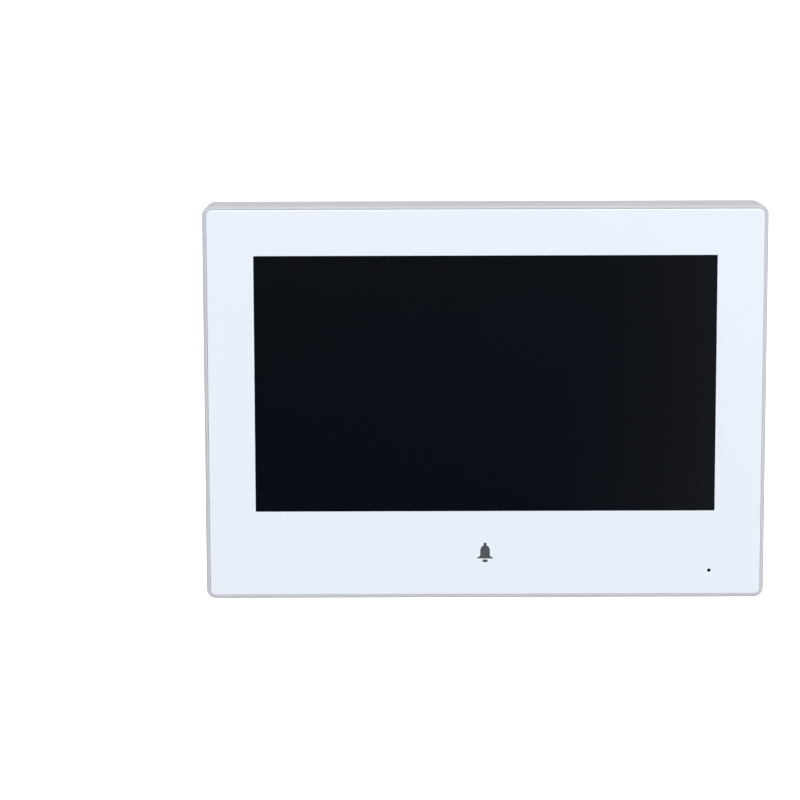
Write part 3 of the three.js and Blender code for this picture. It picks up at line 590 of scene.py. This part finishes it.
basket_section = [(15.2, -5.25), (15.2, -6.6), (10.2, -11.4), (5.6, -11.4), (5.6, -12.15), (5.7, -12.2)]
basket_section += [(10.7, -12.2), (10.9, -12.1), (16.2, -7.1), (16.5, -6.9), (17.8, -6.4), (18, -6.2)]
basket_section += [(18, -5.35), (17.85, -5.2), (15.3, -5.2)]
basket = ring(disc(0.0, *on_speaker, 64), basket_section)
basket_windows = []
for quarter in range(4):
    angle = math.radians(45 + 90 * quarter)
    place = (SPEAKER_X + WINDOW_CIRCLE * math.cos(angle), SPEAKER_Z + WINDOW_CIRCLE * math.sin(angle))
    basket_windows.append(slab(disc(BASKET_WINDOW, *place, 24), [], -12.6, -6.9, 0.01, 0.01, steps=1))
basket = cut_out(basket, basket_windows)
ears = []
for end in (-1, 1):
    ear_z = SPEAKER_Z + end * SPEAKER_EAR
    root_z = SPEAKER_Z + end * EAR_ROOT
    first = 0 if end > 0 else 180
    ear = arc_points(SPEAKER_X, ear_z, EAR_RADIUS, first, first + 180, 12)
    ear += [(SPEAKER_X - end * EAR_RADIUS, root_z), (SPEAKER_X + end * EAR_RADIUS, root_z)]
    ears.append(slab(drawn(ear), [disc(EAR_HOLE, SPEAKER_X, ear_z, 24)], -6.4, -5.2, 0.12, 0.12))
piece("basket", [basket, *ears], black_plastic, "black_plastic", "speaker_basket")

pot = [(0, -15.6), (9.1, -15.6), *arc_points(9.1, -15.3, 0.3, -90, 0, 3), (9.4, -12.6), (9.3, -12.5)]
pot += [(5.2, -12.5), (5.2, -14.6), (3.6, -14.6), (3.6, -12.0), (3.5, -11.9), (0, -11.9)]
piece("magnet", [turned(pot, *on_speaker, 56)], steel, "screw_steel", "speaker_magnet")

# The cone's roll is a half circle at its rim, and fine ribs run round the paper.
RIBS = 9
PAPER_START, PAPER_DEPTH = 4.4, -10.1
PAPER_WIDE, PAPER_DEEP = 8.1, 3.8
cone_front = [(0, -10.7), (2.2, -10.6), (4.1, -10.45), (4.1, -13.2), (4.6, -13.2), (4.6, -10.6)]
cone_back = [(0, -9.7), (1.5, -9.75), (3.0, -9.95), (4.2, -10.2)]
for rib in range(1, RIBS):
    along = rib / RIBS
    raised = 0.07 if rib % 2 else -0.03
    cone_back.append((PAPER_START + along * PAPER_WIDE, PAPER_DEPTH + along * PAPER_DEEP + raised))
roll = arc_points(13.4, -6.1, 0.75, 150, 15, 8)
cone_profile = cone_back + roll + [(14.4, -5.95), (14.4, -6.3), (13.5, -6.35), *cone_front[::-1]]
cone = turned(cone_profile, *on_speaker, 72)
piece("cone", [cone], cone_paper, "cone_paper", "speaker_cone", body="speaker_cone")


def block(wide, high, radius, x, z, low, top, soft_low, soft_top, corner_steps=1, steps=1):
    """A solid block with round corners, between two depths."""
    outline = rounded(wide, high, radius, x, z, corner_steps)
    return slab(outline, [], low, top, soft_low, soft_top, steps=steps)


THREAD_PITCH = 0.7


def screw(name, x, z, seat, length, way, head):
    """A pan-head screw with a cross recess and a rolled thread. way is -1 where it runs to the front."""
    side_view = [(0, -1.3), (0.5 * head, -1.26), (0.78 * head, -1.08), (0.94 * head, -0.75)]
    side_view += [(head, -0.4), (head, -0.08), (head - 0.08, 0), (0.95, 0), (0.8, 0.15)]
    for turn in range(int((length - 1.5) / THREAD_PITCH)):
        start = 0.3 + turn * THREAD_PITCH
        side_view += [(0.78, start), (1.0, start + 0.25), (0.78, start + 0.5)]
    side_view += [(0.7, length - 0.9), (0.2, length - 0.05), (0, length)]
    shape = turned([(r, seat + way * d) for r, d in side_view], x, z, 28)
    recess = sorted((seat - way * 1.4, seat - way * 0.55))
    cross = [block(*arm, 0.1, x, z, *recess, 0.01, 0.01, 2) for arm in ((2.5, 0.55), (0.55, 2.5))]
    piece(name + "_turned", [cut_out(shape, cross)], steel, "screw_steel", name)


for number, end in ((1, 1), (2, -1)):
    screw(f"speaker_screw_{number}", SPEAKER_X, SPEAKER_Z + end * SPEAKER_EAR, -6.5, 3.6, 1, 2.2)


# ---- Main board ----
# A green glass-fibre board shaped round the speaker. Its tracks show faintly under the lacquer, and it is
# held on the cover's posts by four screws through tinned rings.
def board_lacquer():
    """Green lacquer over copper. The tracks run across in some patches of the board and along in others."""
    material = grained(
        "board_lacquer", (0.012, 0.1, 0.035), 0.3, spread=0.05, coat=0.5, coat_roughness=0.12,
    )
    nodes, links = material.node_tree.nodes, material.node_tree.links
    skin = nodes["Principled BSDF"]
    place = nodes.new("ShaderNodeTexCoord")
    patches = nodes.new("ShaderNodeTexVoronoi")
    patches.distance = "CHEBYCHEV"
    patches.inputs["Scale"].default_value = 75.0
    links.new(place.outputs["Object"], patches.inputs["Vector"])
    parted = nodes.new("ShaderNodeSeparateColor")
    links.new(patches.outputs["Color"], parted.inputs["Color"])
    ways = []
    for direction in ("X", "Z"):
        tracks = nodes.new("ShaderNodeTexWave")
        tracks.bands_direction = direction
        tracks.wave_profile = "TRI"
        tracks.inputs["Scale"].default_value = 260.0
        links.new(place.outputs["Object"], tracks.inputs["Vector"])
        edge = nodes.new("ShaderNodeMapRange")
        edge.inputs["From Min"].default_value = 0.5
        edge.inputs["From Max"].default_value = 0.56
        links.new(tracks.outputs["Fac"], edge.inputs["Value"])
        ways.append(edge)
    choice = nodes.new("ShaderNodeMath")
    choice.operation = "GREATER_THAN"
    choice.inputs[1].default_value = 0.5
    links.new(parted.outputs[0], choice.inputs[0])
    tracks_either = nodes.new("ShaderNodeMix")
    links.new(choice.outputs[0], tracks_either.inputs[0])
    links.new(ways[0].outputs[0], tracks_either.inputs[2])
    links.new(ways[1].outputs[0], tracks_either.inputs[3])
    colours = nodes.new("ShaderNodeValToRGB")
    between, on_track = colours.color_ramp.elements
    between.color, on_track.color = (0.006, 0.07, 0.022, 1.0), (0.022, 0.16, 0.06, 1.0)
    links.new(tracks_either.outputs[0], colours.inputs["Fac"])
    links.new(colours.outputs["Color"], skin.inputs["Base Color"])
    return material


tin = grained("solder_tin", (0.66, 0.66, 0.64), 0.3, 1.0, cloud_mm=2, cloud=0.08, spread=0.1)
BOARD_FRONT = mm_box("main_board")[2]
board_corners = [(-78, -62.5), (79, -62.5), (79, -50.5), (46, -50.5), (46, 50), (-78, 50)]
board_holes = [disc(1.5, x, z, 24) for x, z in BOARD_SCREWS]
board = slab(drawn(board_corners), board_holes, BOARD_FRONT, BOARD_BACK, 0.06, 0.06, steps=1)
piece("circuit_board", [board], board_lacquer(), "board_green", "main_board")
rings = []
for x, z in BOARD_SCREWS:
    for face in (BOARD_FRONT, BOARD_BACK):
        section = [(1.52, face - 0.03), (2.7, face - 0.03), (2.7, face + 0.03), (1.52, face + 0.03)]
        rings.append(ring(disc(0.0, x, z), section))
piece("tinned_rings", rings, tin, "screw_steel")

# Rows of small resistors and capacitors stand between the larger parts, and none under the shield.
ROW_HEIGHTS, ROW_LENGTH, ROW_PITCH = (-44.0, -36.0, 4.0, 33.0), 14, 8.0
small_parts = []
for column in range(ROW_LENGTH):
    for row, z in enumerate(ROW_HEIGHTS):
        x = -70 + column * ROW_PITCH + (row % 2) * 3.0
        near_shield = abs(x + 52) < 18 and abs(z - 14) < 16
        if x < 42 and not near_shield:
            small_parts.append(block(1.6, 0.8, 0.1, x, z, BOARD_BACK, BOARD_BACK + 0.5, 0.04, 0.08))
ceramic = grained("ceramic_parts", (0.33, 0.24, 0.16), 0.5, cloud=0.3, cloud_mm=9)
piece("small_parts", small_parts, ceramic, "chip_black")
for number, (x, z) in enumerate(BOARD_SCREWS, start=1):
    screw(f"board_screw_{number}", x, z, BOARD_FRONT - 0.1, 6.5, 1, 2.4)


# ---- Chips and power parts ----
# Moulded black chips with bent tin leads, a pressed shield over the processor, a ferrite coil and two
# aluminium capacitors. All are soldered to the back of the board.
resin = grained("chip_resin", (0.03, 0.03, 0.032), 0.55, grain_mm=0.2, relief_mm=0.01, cloud=0.1)
LEAD_REACH, LEAD_WIDTH, LEAD_THICK = 0.9, 0.32, 0.28


def flat_chip(node, leads, sides):
    """A chip with a sloped edge and a dimple at its first pin. sides says where the leads are."""
    wide, high, x, z, front, back = front_view(node)
    inset = LEAD_REACH if leads else 0.0
    wide -= 2 * inset if "x" in sides else 0
    high -= 2 * inset if "z" in sides else 0
    dimple = disc(0.45, x - wide / 2 + 1.2, z + high / 2 - 1.2, 16)
    lid_outline = rounded(wide - 0.2, high - 0.2, 0.2, x, z, 2)
    lid = slab(lid_outline, [dimple], back - 0.12, back, 0.01, 0.06, steps=1)
    body = block(wide, high, 0.2, x, z, front + 0.1, back - 0.1, 0.1, 0.15, 2)
    piece(node + "_body", [body, lid], resin, "chip_black", node)
    bent = []
    for side in sides:
        row = (high if side == "x" else wide) - 1.0
        for end in (-1, 1):
            for number in range(leads):
                along = (number - (leads - 1) / 2) * row / (leads - 1)
                if side == "x":
                    out = x + end * (wide / 2 + inset / 2 - 0.1)
                    foot = (inset + 0.2, LEAD_WIDTH, 0.05, out, z + along)
                else:
                    out = z + end * (high / 2 + inset / 2 - 0.1)
                    foot = (LEAD_WIDTH, inset + 0.2, 0.05, x + along, out)
                bent.append(block(*foot, front, front + LEAD_THICK, 0.02, 0.08))
    if bent:
        piece(node + "_leads", bent, tin, "screw_steel", node)


flat_chip("processor", 0, "")
flat_chip("memory_chip", 11, "x")
flat_chip("video_decoder", 12, "xz")
flat_chip("audio_amplifier", 4, "z")

SHIELD_SHEET, SHIELD_HOLE, HOLE_PITCH = 0.4, 0.9, 4.5
wide, high, x, z, front, back = front_view("processor_shield")
shield_outline = rounded(wide, high, 1.0, x, z)
shield_holes = []
for column in range(-2, 3):
    for row in range(-2, 3):
        shield_holes.append(disc(SHIELD_HOLE, x + column * HOLE_PITCH, z + row * HOLE_PITCH, 16))
shield_top = slab(shield_outline, shield_holes, back - SHIELD_SHEET, back, 0.02, 0.3)
side_front, side_back = front + 0.02, back - 0.35
shield_section = [(0, side_front), (0, side_back), (-SHIELD_SHEET, side_back), (-SHIELD_SHEET, side_front)]
shield_side = ring(shield_outline, shield_section)
piece("pressed_shield", [shield_top, shield_side], zinc, "zinc_plate", "processor_shield")

wide, high, x, z, front, back = front_view("power_coil")
coil_outline = rounded(wide, high, 1.5, x, z)
coil_body = slab(coil_outline, [disc(2.9, x, z, 32)], front, back, 0.1, 0.35)
core_profile = [(0, front), (2.4, front), (2.4, back - 0.5), (2.2, back - 0.3), (0, back - 0.3)]
core = turned(core_profile, x, z, 32)
ferrite = grained("ferrite", (0.045, 0.045, 0.05), 0.62, grain_mm=0.15, relief_mm=0.02, cloud=0.12)
piece("coil_ferrite", [coil_body, core], ferrite, "chip_black", "power_coil")

# Each can has a groove rolled in near its foot, and a cross scored in its top.
aluminium = grained("capacitor_can", (0.7, 0.7, 0.71), 0.3, 1.0, cloud_mm=3, cloud=0.05, spread=0.1)
for node in ("capacitor_1", "capacitor_2"):
    wide, high, x, z, front, back = front_view(node)
    wall = wide / 2 - 0.1
    can = [(0, front + 0.1), (wall - 0.4, front + 0.1), (wall - 0.3, front + 0.5), (wall, front + 0.9)]
    can += [(wall - 0.3, front + 1.4), (wall, front + 1.8), (wall, back - 0.5)]
    can += [*arc_points(wall - 0.5, back - 0.5, 0.5, 0, 90, 4), (wall - 0.9, back - 0.12), (0, back - 0.12)]
    cross = ((3.6, 0.3), (0.3, 3.6))
    score = [block(*arm, 0.05, x, z, back - 0.45, back + 0.2, 0.01, 0.01) for arm in cross]
    piece(node + "_can", [cut_out(turned(can, x, z, 40), score)], aluminium, "screw_steel", node)
    base = block(5.9, 5.9, 0.9, x, z, front, front + 0.45, 0.05, 0.1, 3)
    piece(node + "_base", [base], black_plastic, "black_plastic", node)


# ---- Wire sockets ----
# Open nylon shrouds on the back of the board, with tinned square pins at 2.5 mm. They show through the
# window in the pocket's floor: two for door stations, one for a second monitor and one for power.
nylon = grained("pale_nylon", (0.76, 0.73, 0.64), 0.38, cloud=0.03, grain_mm=0.6, relief_mm=0.004)
SOCKET_PINS = {"door_socket_1": 4, "door_socket_2": 4, "extension_socket": 4, "power_socket": 2}
PIN_PITCH, PIN_WIDTH = 2.5, 0.64
SHROUD_WALL, SOCKET_FOOT = 0.8, 1.4
for node, pins in SOCKET_PINS.items():
    wide, high, x, z, front, back = front_view(node)
    outside = rounded(wide, high, 0.25, x, z, 3)
    hollow = rounded(wide - 2 * SHROUD_WALL, high - 2 * SHROUD_WALL, 0.15, x, z, 2)
    shroud = slab(outside, [hollow], front + SOCKET_FOOT, back, 0.02, 0.18)
    foot = slab(outside, [], front, front + SOCKET_FOOT + 0.02, 0.12, 0.01)
    keyways = []
    for side in (-1, 1):
        key_x = x + side * PIN_PITCH / 2
        keyways.append(block(1.0, 2.0, 0.05, key_x, z - high / 2, back - 3, back + 1, 0.01, 0.01))
    piece(node + "_shroud", [cut_out(shroud, keyways), foot], nylon, "pale_nylon", node)
    rods = []
    for number in range(pins):
        pin_x = x + (number - (pins - 1) / 2) * PIN_PITCH
        rods.append(block(PIN_WIDTH, PIN_WIDTH, 0.05, pin_x, z, front + 1, back - 0.8, 0.02, 0.22))
    piece(node + "_pins", rods, tin, "screw_steel", node)


# ---- Selector and reset key ----
# A black switch block with two small sliders says which monitor of a pair this one is. The reset key
# stands in a round hole beside it, over a push switch, and is pressed with a pin.
RIDGE_PITCH = 0.5
wide, high, x, z, front, back = front_view("selector_block")
sliders = ("selector_slider_1", "selector_slider_2")
slots = [rounded(1.8, 4.2, 0.12, front_view(node)[2], z, 2) for node in sliders]
block_outline = rounded(wide, high, 0.3, x, z, 3)
block_top = slab(block_outline, slots, back - 1.6, back, 0.02, 0.2)
block_body = slab(block_outline, [], front, back - 1.55, 0.1, 0.02)
piece("switch_block", [block_top, block_body], black_plastic, "black_plastic", "selector_block")
for number, node in enumerate(sliders, start=1):
    wide, high, x, z, front, back = front_view(node)
    slider = [block(wide, high, 0.12, x, z, front, back - 0.3, 0.02, 0.06, 2)]
    for step in (-1, 0, 1):
        ridge_z = z + step * RIDGE_PITCH
        slider.append(block(wide - 0.1, 0.28, 0.05, x, ridge_z, back - 0.5, back, 0.02, 0.08))
    piece(f"slider_{number}", slider, nylon, "pale_nylon", node, body=f"selector_{number}")

wide, high, x, z, front, back = front_view("reset_switch")
lid_outline = rounded(wide, high, 0.5, x, z, 3)
cover_plate = slab(lid_outline, [disc(1.9, x, z, 28)], back - 1.15, back, 0.03, 0.12)
switch_floor = block(wide - 0.2, high - 0.2, 0.4, x, z, front, front + 0.8, 0.05, 0.02, 3, 3)
piece("push_switch", [cover_plate, switch_floor], steel, "screw_steel", "reset_switch")
wide, high, x, z, front, back = front_view("reset_key")
radius = wide / 2
key = [(0, back - 0.25), (0.8, back - 0.18), (1.15, back - 0.02), (1.3, back)]
key += [*arc_points(radius - 0.25, back - 0.25, 0.25, 90, 0, 4), (radius, front + 0.15)]
key += [(radius - 0.15, front), (0, front)]
plunger = turned(key, x, z, 36)
piece("reset_plunger", [plunger], black_plastic, "black_plastic", "reset_key", body="reset_key")


# ---- Display ----
# The 7-inch cell lies in a folded steel tray, which two pressed straps clamp against the frame. An amber
# ribbon with copper tracks comes out at the lower edge and folds back to its connector on the board.
STRAP_X, STRAP_ENDS = 60.0, (59.5, -50.5)
STRAP_SCREW_SEAT = -16.3
cell_glass = grained("cell_glass", (0.004, 0.005, 0.006), 0.12, coat=1.0, coat_roughness=0.02, cloud_mm=80)
wide, high, cell_x, cell_z, front, back = front_view("lcd_panel")
lower_sheet = block(wide, high, 0.3, cell_x, cell_z, back - 0.72, back, 0.05, 0.05, 2)
upper = (wide - 0.6, high - 3.0, 0.3, cell_x, cell_z + 1.2)
upper_sheet = block(*upper, front, front + 0.66, 0.05, 0.05, 2)
piece("display_cell", [lower_sheet, upper_sheet], cell_glass, "screen_glass", "lcd_panel")

wide, high, x, z, front, back = front_view("backlight_tray")
tray_outline = rounded(wide, high, 0.8, x, z)
seat = rounded(161.6, 93.6, 0.4, cell_x, cell_z, 3)
floor_front = front + 1.7
tray_frame = slab(tray_outline, [seat], front, floor_front + 0.02, 0.25, 0.02)
pressings = [rounded(60, 26, 6, x + side * 36, z + end * 24) for side in (-1, 1) for end in (-1, 1)]
tray_back = slab(tray_outline, pressings, floor_front, back, 0.02, 0.45)
tray_floor = block(wide - 1, high - 1, 0.6, x, z, floor_front, back - 0.5, 0.02, 0.02, 6, 3)
piece("display_tray", [tray_frame, tray_back, tray_floor], steel, "screw_steel", "backlight_tray")

for word in ("left", "right"):
    node = "display_strap_" + word
    wide, high, x, z, front, back = front_view(node)
    strap_holes = [disc(1.5, x, end, 24) for end in STRAP_ENDS]
    strap_holes.append(rounded(4, high - 26, 1.9, x, z))
    flat = slab(rounded(wide, high, 2, x, z), strap_holes, front, back, 0.08, 0.08)
    rib_section = [(1.95, front + 0.05), (1.5, back - 0.35), (1.5, back - 0.15), (2.05, back - 0.05)]
    rib_section.append((2.05, front + 0.02))
    rib = ring(rounded(0.1, high - 29.9, 0.05, x, z, 8), rib_section)
    rib_floor = block(3.2, high - 26.8, 1.5, x, z, back - 0.35, back - 0.15, 0.02, 0.02, 8, 3)
    piece("strap_" + word, [flat, rib, rib_floor], zinc, "zinc_plate", node)
    for place, end in zip(("top", "bottom"), STRAP_ENDS):
        screw(f"strap_screw_{word}_{place}", x, end, STRAP_SCREW_SEAT, 4.4, -1, 2.4)


def ribbon_film():
    """Amber film with copper tracks running along it under the surface."""
    material = grained(
        "ribbon_film", (0.42, 0.17, 0.03), 0.3, spread=0.05, coat=0.6, coat_roughness=0.1,
    )
    nodes, links = material.node_tree.nodes, material.node_tree.links
    place = nodes.new("ShaderNodeTexCoord")
    tracks = nodes.new("ShaderNodeTexWave")
    tracks.bands_direction = "X"
    tracks.inputs["Scale"].default_value = 320.0
    links.new(place.outputs["Object"], tracks.inputs["Vector"])
    colours = nodes.new("ShaderNodeValToRGB")
    between, on_track = colours.color_ramp.elements
    between.position, on_track.position = 0.4, 0.6
    between.color, on_track.color = (0.3, 0.1, 0.015, 1.0), (0.62, 0.27, 0.06, 1.0)
    links.new(tracks.outputs["Fac"], colours.inputs["Fac"])
    links.new(colours.outputs["Color"], nodes["Principled BSDF"].inputs["Base Color"])
    return material


RIBBON_THICK, RIBBON_ROOT = 0.3, -45.2
x0, x1, front, back, z0, z1 = mm_box("display_ribbon")
bend = (back - front) / 2
bend_at = ((front + back) / 2, z0 + bend)
outside = [(front, RIBBON_ROOT), *arc_points(*bend_at, bend, 180, 360, 12), (back, z1)]
inside = [(back - RIBBON_THICK, z1), *arc_points(*bend_at, bend - RIBBON_THICK, 360, 180, 12)]
inside.append((front + RIBBON_THICK, RIBBON_ROOT))
ribbon = slab(drawn(outside + inside), [], x0, x1, 0.03, 0.03, "X", 1)
piece("ribbon", [ribbon], ribbon_film(), "ribbon_amber", "display_ribbon")

CONTACTS = 44
wide, high, x, z, front, back = front_view("display_connector")
mouth = block(45, 2.6, 0.1, 0, -38.2, -16.0, -15.1, 0.01, 0.01)
contacts = []
for number in range(CONTACTS):
    contact_x = number - (CONTACTS - 1) / 2
    contacts.append(block(0.5, 1.4, 0.05, contact_x, z + 1.2, front - 1, front + 0.4, 0.01, 0.01))
housing = cut_out(block(wide, high, 0.4, x, z, front, back, 0.2, 0.1, 3, 3), [mouth, *contacts])
piece("connector_housing", [housing], nylon, "pale_nylon", "display_connector")


# ---- Foam seal, touch glass and tape ----
# Layers between the display and the front panel: a black foam seal, the touch sensor's glass glued
# behind the window, and a frame of black foam tape that holds the panel in its seat.
WINDOW_Z = front_view("touch_sensor")[3]
MIC_X, MIC_Z = front_view("microphone")[2:4]
front, back = mm_box("display_seal")[2:4]
seal_outline = rounded(162, 93.6, 1, 0, WINDOW_Z)
seal = slab(seal_outline, [rounded(156, 87.6, 1, 0, WINDOW_Z)], front, back, 0.05, 0.05, steps=1)
piece("seal_frame", [seal], foam, "foam_black", "display_seal")
front, back = mm_box("panel_tape")[2:4]
tape_holes = [rounded(159, 90.6, 1, 0, WINDOW_Z), disc(1.5, MIC_X, MIC_Z, 24)]
tape = slab(rounded(184.2, 128.7, 0.9), tape_holes, front, back, 0.05, 0.05, steps=1)
piece("tape_frame", [tape], foam, "foam_black", "panel_tape")
wide, high, x, z, front, back = front_view("touch_sensor")
sensor = block(wide, high, 0.6, x, z, front, back, 0.08, 0.08, 6, 2)
piece("touch_glass", [sensor], cell_glass, "screen_glass", "touch_sensor")


# ---- Microphone ----
# A small capsule in an aluminium can, pressed into a moulded rubber boot. The boot stands in a ring on the
# frame and leads sound to the capsule from the hole in the front.
wide, high, x, z, front, back = front_view("microphone")
radius = wide / 2
can = [(0, front + 0.15), (0.5, front + 0.15), (0.6, front), (radius - 0.3, front)]
can += [*arc_points(radius - 0.3, front + 0.3, 0.3, -90, 0, 4), (radius, back - 0.2)]
can += [(radius - 0.2, back), (radius - 0.5, back - 0.2), (0, back - 0.2)]
capsule = turned(can, MIC_X, MIC_Z, 36)
piece("microphone_capsule", [capsule], aluminium, "screw_steel", "microphone")
wide, high, x, z, front, back = front_view("microphone_boot")
radius = wide / 2
rubber = grained("boot_rubber", (0.06, 0.062, 0.068), 0.75, grain_mm=0.3, relief_mm=0.015)
sleeve = [(0.9, front + 0.1), (1.0, front), (radius - 0.4, front), (radius, front + 0.4)]
sleeve += [(radius, front + 1.6), (radius - 0.25, front + 1.8), (radius - 0.25, front + 2.2)]
sleeve += [(radius, front + 2.4), (radius, back - 0.2), (radius - 0.2, back), (3.2, back)]
sleeve += [(3.1, back - 0.1), (3.1, -17.1), (0.9, -17.1)]
boot = ring(disc(0.0, MIC_X, MIC_Z, 40), sleeve)
piece("rubber_boot", [boot], rubber, "boot_rubber", "microphone_boot")


# ---- Front frame ----
# The white moulded frame that closes the case. Its thin round rim shows all round the front panel,
# and its web carries the panel in front and the display and the case screws' bosses behind.
RIM, RIM_ROUND = 1.4, 1.1
SPLIT = -17.0
WEB_FRONT, WEB_BACK = -23.4, -21.4
LOW_BOSS_BACK = -17.5
WINDOW_WIDTH, WINDOW_HEIGHT = 155.0, 86.6
wide, high, x, z, frame_front, boss_back = front_view("front_frame")
seat_inset = RIM - 0.08
root_inset = CASE_WALL + 0.6
rim_section = [(-SEAM, SPLIT), (-SEAM * 0.3, SPLIT - SEAM * 0.3), (0, SPLIT - SEAM)]
rim_section += shoulder(-RIM_ROUND, RIM_ROUND, 0, frame_front)
rim_section += [(-seat_inset, frame_front + 0.05), (-seat_inset, WEB_FRONT), (-root_inset, WEB_FRONT)]
rim_section += [(-root_inset, WEB_BACK), (-CASE_WALL, WEB_BACK + 0.6), (-CASE_WALL, SPLIT)]
rim = ring(case_outline, rim_section)
web_window = rounded(WINDOW_WIDTH + 3, WINDOW_HEIGHT + 3, 1, 0, WINDOW_Z)
web_outline = rounded(wide - 2 * seat_inset - 1, high - 2 * seat_inset - 1, 1.5)
web_holes = [web_window, disc(0.9, MIC_X, MIC_Z, 20)]
web = slab(web_outline, web_holes, WEB_FRONT + 0.02, WEB_BACK - 0.02, square=(0,))
case_boss = [(1.3, -19), (1.3, boss_back), (3.0, boss_back), (3.2, boss_back - 0.2), (3.2, WEB_BACK - 0.2)]
bosses = [ring(disc(0.0, x, z), case_boss) for x, z in CASE_SCREWS]
strap_boss = [(1.3, WEB_BACK), (1.3, LOW_BOSS_BACK), (2.6, LOW_BOSS_BACK), (2.6, WEB_BACK - 0.2)]
bosses += [ring(disc(0.0, side * STRAP_X, z), strap_boss) for side in (-1, 1) for z in STRAP_ENDS]
mic_ring = [(3.9, WEB_BACK - 0.1), (3.9, LOW_BOSS_BACK), (5.2, LOW_BOSS_BACK), (5.2, WEB_BACK - 0.1)]
bosses.append(ring(disc(0.0, MIC_X, MIC_Z), mic_ring))
piece("moulded_frame", [rim, web, *bosses], case_plastic_painted_shade, "case_white", "front_frame")


# ---- Front panel ----
# One sheet of polished glass with a fine ground edge, printed white behind except for the sharp-cornered
# window over the screen. A small hole low on the right lets sound in to the microphone.
printed_glass = grained(
    "printed_glass", (0.835, 0.885, 0.955), 0.22, coat=1.0, coat_roughness=0.02, cloud_mm=90, cloud=0.008,
    grain_mm=2.5, relief_mm=0.0, spread=0.03,
)
dark_glass = grained(
    "dark_glass", (0.0010, 0.0021, 0.0049), 0.3, coat=1.0, coat_roughness=0.015, cloud_mm=120, cloud=0.15,
    grain_mm=2.0, relief_mm=0.0, spread=0.03, specular=0.07,
)
MIC_HOLE = 0.6
wide, high, x, z, panel_front, panel_back = front_view("front_panel")
panel_outline = rounded(wide, high, CORNER - RIM, 0, 0, 10)
window_outline = rounded(WINDOW_WIDTH, WINDOW_HEIGHT, 0.15, 0, WINDOW_Z, 3)
panel_holes = [window_outline, disc(MIC_HOLE, MIC_X, MIC_Z, 28)]
sheet = slab(panel_outline, panel_holes, panel_front, panel_back, 0.35, 0.1, square=(1,), steps=5)
piece("glass_front", [sheet], printed_glass, "panel_white", "front_panel")
window_sheet = slab(window_outline, [], panel_front, panel_back, 0.01, 0.01, steps=1, square=(0,))
piece("screen_window", [window_sheet], dark_glass, "screen_glass", "front_panel")

# A plain bell sign is printed in grey under the screen, where such a panel carries a mark.
sign_grey = grained(
    "sign_ink", (0.075, 0.08, 0.09), 0.3, coat=1.0, coat_roughness=0.02, cloud=0.05, relief_mm=0.0,
)
SIGN_Z = -51.4
BELL_WIDTH, BELL_HEIGHT = 5.2, 4.6
DOME_SHARE, LIP, FLARE = 0.62, 0.45, 0.9


def bell_outline():
    """A dome on a flared skirt, drawn anticlockwise from the lower left."""
    half, base = BELL_WIDTH / 2, SIGN_Z - 1.6
    dome = half * DOME_SHARE
    shoulder_z = base + BELL_HEIGHT - dome
    turns = quarter_turn(8)
    skirt = [(half - (half - dome) * math.sin(t), base + LIP + FLARE * (1 - math.cos(t))) for t in turns]
    points = [(-half, base), (half, base), *skirt]
    points += [(dome * math.cos(2 * t), shoulder_z + dome * math.sin(2 * t)) for t in turns]
    points += [(-x, z) for x, z in reversed(skirt)]
    return points


ink = (panel_front - 0.012, panel_front + 0.05)
bell = slab(drawn(bell_outline()), [], *ink, 0.002, 0.002, steps=1)
knob = slab(disc(0.55, 0, SIGN_Z + 3.35, 24), [], *ink, 0.002, 0.002, steps=1)
clapper = block(1.8, 0.9, 0.44, 0, SIGN_Z - 2.4, *ink, 0.002, 0.002, 8)
piece("bell_sign", [bell, knob, clapper], sign_grey, "panel_white")


# ---- Case screws ----
# Four self-tapping screws of plated steel. They go down the wells in the back and through the cover,
# and cut their own thread in the frame's bosses.
for number, (x, z) in enumerate(CASE_SCREWS, start=1):
    screw(f"case_screw_{number}", x, z, WELL_FLOOR + 0.1, 8.0, -1, 2.5)
